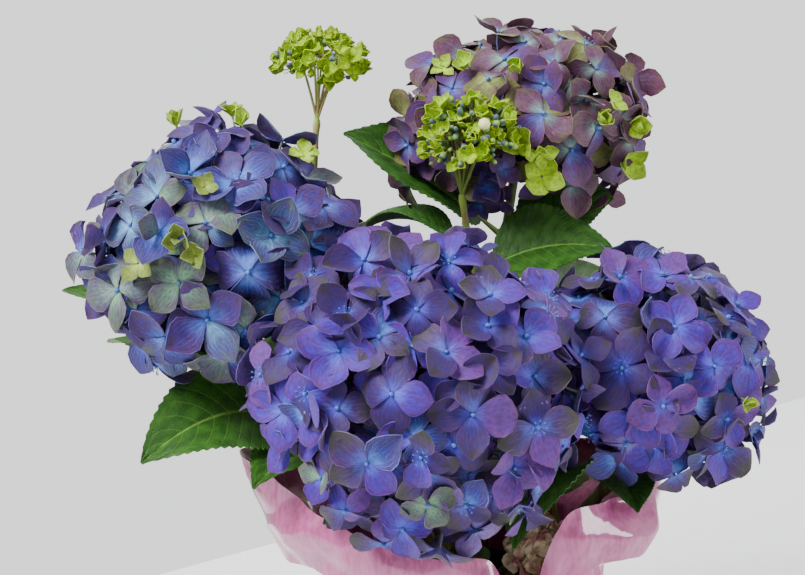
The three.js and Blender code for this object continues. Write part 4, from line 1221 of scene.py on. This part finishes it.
# For each: florets, buds, floret size, rays, seed, and its shift in millimetres
corymb_looks = {
    "young": (66, 160, 0.0080, 13, 71, (9, 0, -3)),
    "bud": (66, 22, 0.0078, 7, 79, (0, 0, -2)),
}
# Two tints for each spray's rays and stem. The young spray's are painted darker than the bud's, as painted
# shade
ray_tints_with_painted_shade = {
    "young": ((112, 132, 50), (104, 92, 52)), "bud": ((170, 194, 86), (168, 148, 96)),
}
stem_shape = np.array([1, 0.9, 0.85, 0.9, 1.1, 0.8])
lime = sepal_finish("sepal_lime", 0.55, 0.12, 0.0)
bud_skin = Finish("bud_skin", (104, 128, 126), 0.5)
bud_patches = bud_skin.ease(bud_skin.grain(260, 1), 0.4, 0.56)
bud_skin.put("Base Color", bud_skin.blend(bud_patches, (122, 156, 58), (68, 88, 104)))
for name, (fork, centre, radii) in corymbs.items():
    floret_count, bud_count, floret_size, ray_count, seed, shift = corymb_looks[name]
    chance = np.random.default_rng(seed)
    axis, fork, radii = corymb_axis(name), metres(fork), metres(radii)
    middle = metres(centre) + metres(shift)
    ray_skin = Finish(f"ray_skin_{name}", (132, 142, 74), 0.6)
    ray_patches = ray_skin.ease(ray_skin.grain(90), 0.4, 0.6)
    ray_skin.put("Base Color", ray_skin.blend(ray_patches, *ray_tints_with_painted_shade[name]))
    way = spread(axis, corymb_cover, floret_count, chance)
    place = middle + way * radii * (0.60 + 0.28 * chance.random(floret_count))[:, None]
    scatter = chance.normal(0, corymb_scatter, (floret_count, 3))
    normal = unit((1 - corymb_lean) * way + corymb_lean * axis + scatter)
    habit = floret_habit(chance, floret_count, *young_habit)
    size = floret_size * chance.uniform(0.7, 1.15, floret_count)
    spin = chance.uniform(0, 1.5, floret_count)
    florets = sepals(place, normal, spin, size, habit, lime_tile, lime_tile, 0.8, coarse_grid, chance)
    add_piece(f"lime_florets_{name}", florets, lime, 60, "petal_lime", f"corymb_{name}")

    bud_way = spread(axis, corymb_cover, bud_count, chance, 2.0)
    bud_at = middle + bud_way * radii * (0.62 + 0.3 * chance.random(bud_count))[:, None]
    round_buds = beads(bud_at, chance.uniform(*bud_widths, bud_count), bud_way)
    add_piece(f"round_buds_{name}", round_buds, bud_skin, 80, "petal_lime")
    if name == "young":
        # One swollen bud is still cream
        cream = Finish("bud_cream", (226, 226, 158), 0.5)
        add_piece("cream_bud", beads(cream_bud_place, [cream_bud_width]), cream, 80, "petal_lime")

    ends = middle + spread(axis, ray_cover, ray_count, chance) * radii * ray_reach
    feet, ways = np.concatenate([place, bud_at]), np.concatenate([normal, bud_way])
    stem = np.linspace(cane_end(name)[0] - 0.002 * axis, fork + 0.001 * axis, len(stem_shape))[None]
    stem = rods(stem, thin_tip_radius * stem_shape, 10)
    spray = join_shapes(*stalks(fork, axis, ends, feet, ways, ray_build), stem)
    add_piece(f"rays_{name}", spray, ray_skin, 70, "cane")


# Withered head: last year's small head on a short side cane, low in front: dry brown
# florets curled and crumpled together on thin dead stalks.
withered_centre, withered_radius, withered_count = metres((41, -46, 181)), 0.013, 34
dry_size, dead_stalk_radius = 0.0105, 0.0005
crumpled_habit = ((0.3, 0.5), (1.0, 0.9), (0.3, 0.8), 0.55)
dry = Finish("withered_sepal", (123, 93, 76), 0.9)
# Beige and brown with a pink flush are the dry sepals' own colours. They are painted lighter all over than
# that, as painted light where the wrap shades the head, and the dead stalks share this finish
browns = dry.blend(dry.ease(dry.grain(120, 3), 0.3, 0.55), (176, 126, 92), (255, 238, 206))
flush = dry.ease(dry.grain(90, 1, (1, 0.8, 1.3)), 0.52, 0.64, 0.0, 0.75)
dry.put("Base Color", dry.blend(flush, browns, (196, 92, 112)))
dry.bump(dry.grain(600, 4), 0.0006)
chance = np.random.default_rng(83)
way = spread((0, 0, 1), math.radians(126), withered_count, chance)
place = withered_centre + way * withered_radius * (0.55 + 0.55 * chance.random((withered_count, 1)))
normal = unit(way + chance.normal(0, 0.4, (withered_count, 3)))
habit = floret_habit(chance, withered_count, *crumpled_habit)
size, spin = np.full(withered_count, dry_size), chance.uniform(0, 1.5, withered_count)
florets = sepals(place, normal, spin, size, habit, 0, 0, 0.4, fine_grid, chance)
add_piece("dry_florets", florets[:2], dry, 60, "petal_withered", "withered_head")
foot, axis = cane_end("old")
dead = bezier(foot - 0.001 * axis, place - 0.4 * withered_radius * normal, place, steps)
add_piece("dead_stalks", rods(dead, dead_stalk_radius, 4), dry, 70, "petal_withered")
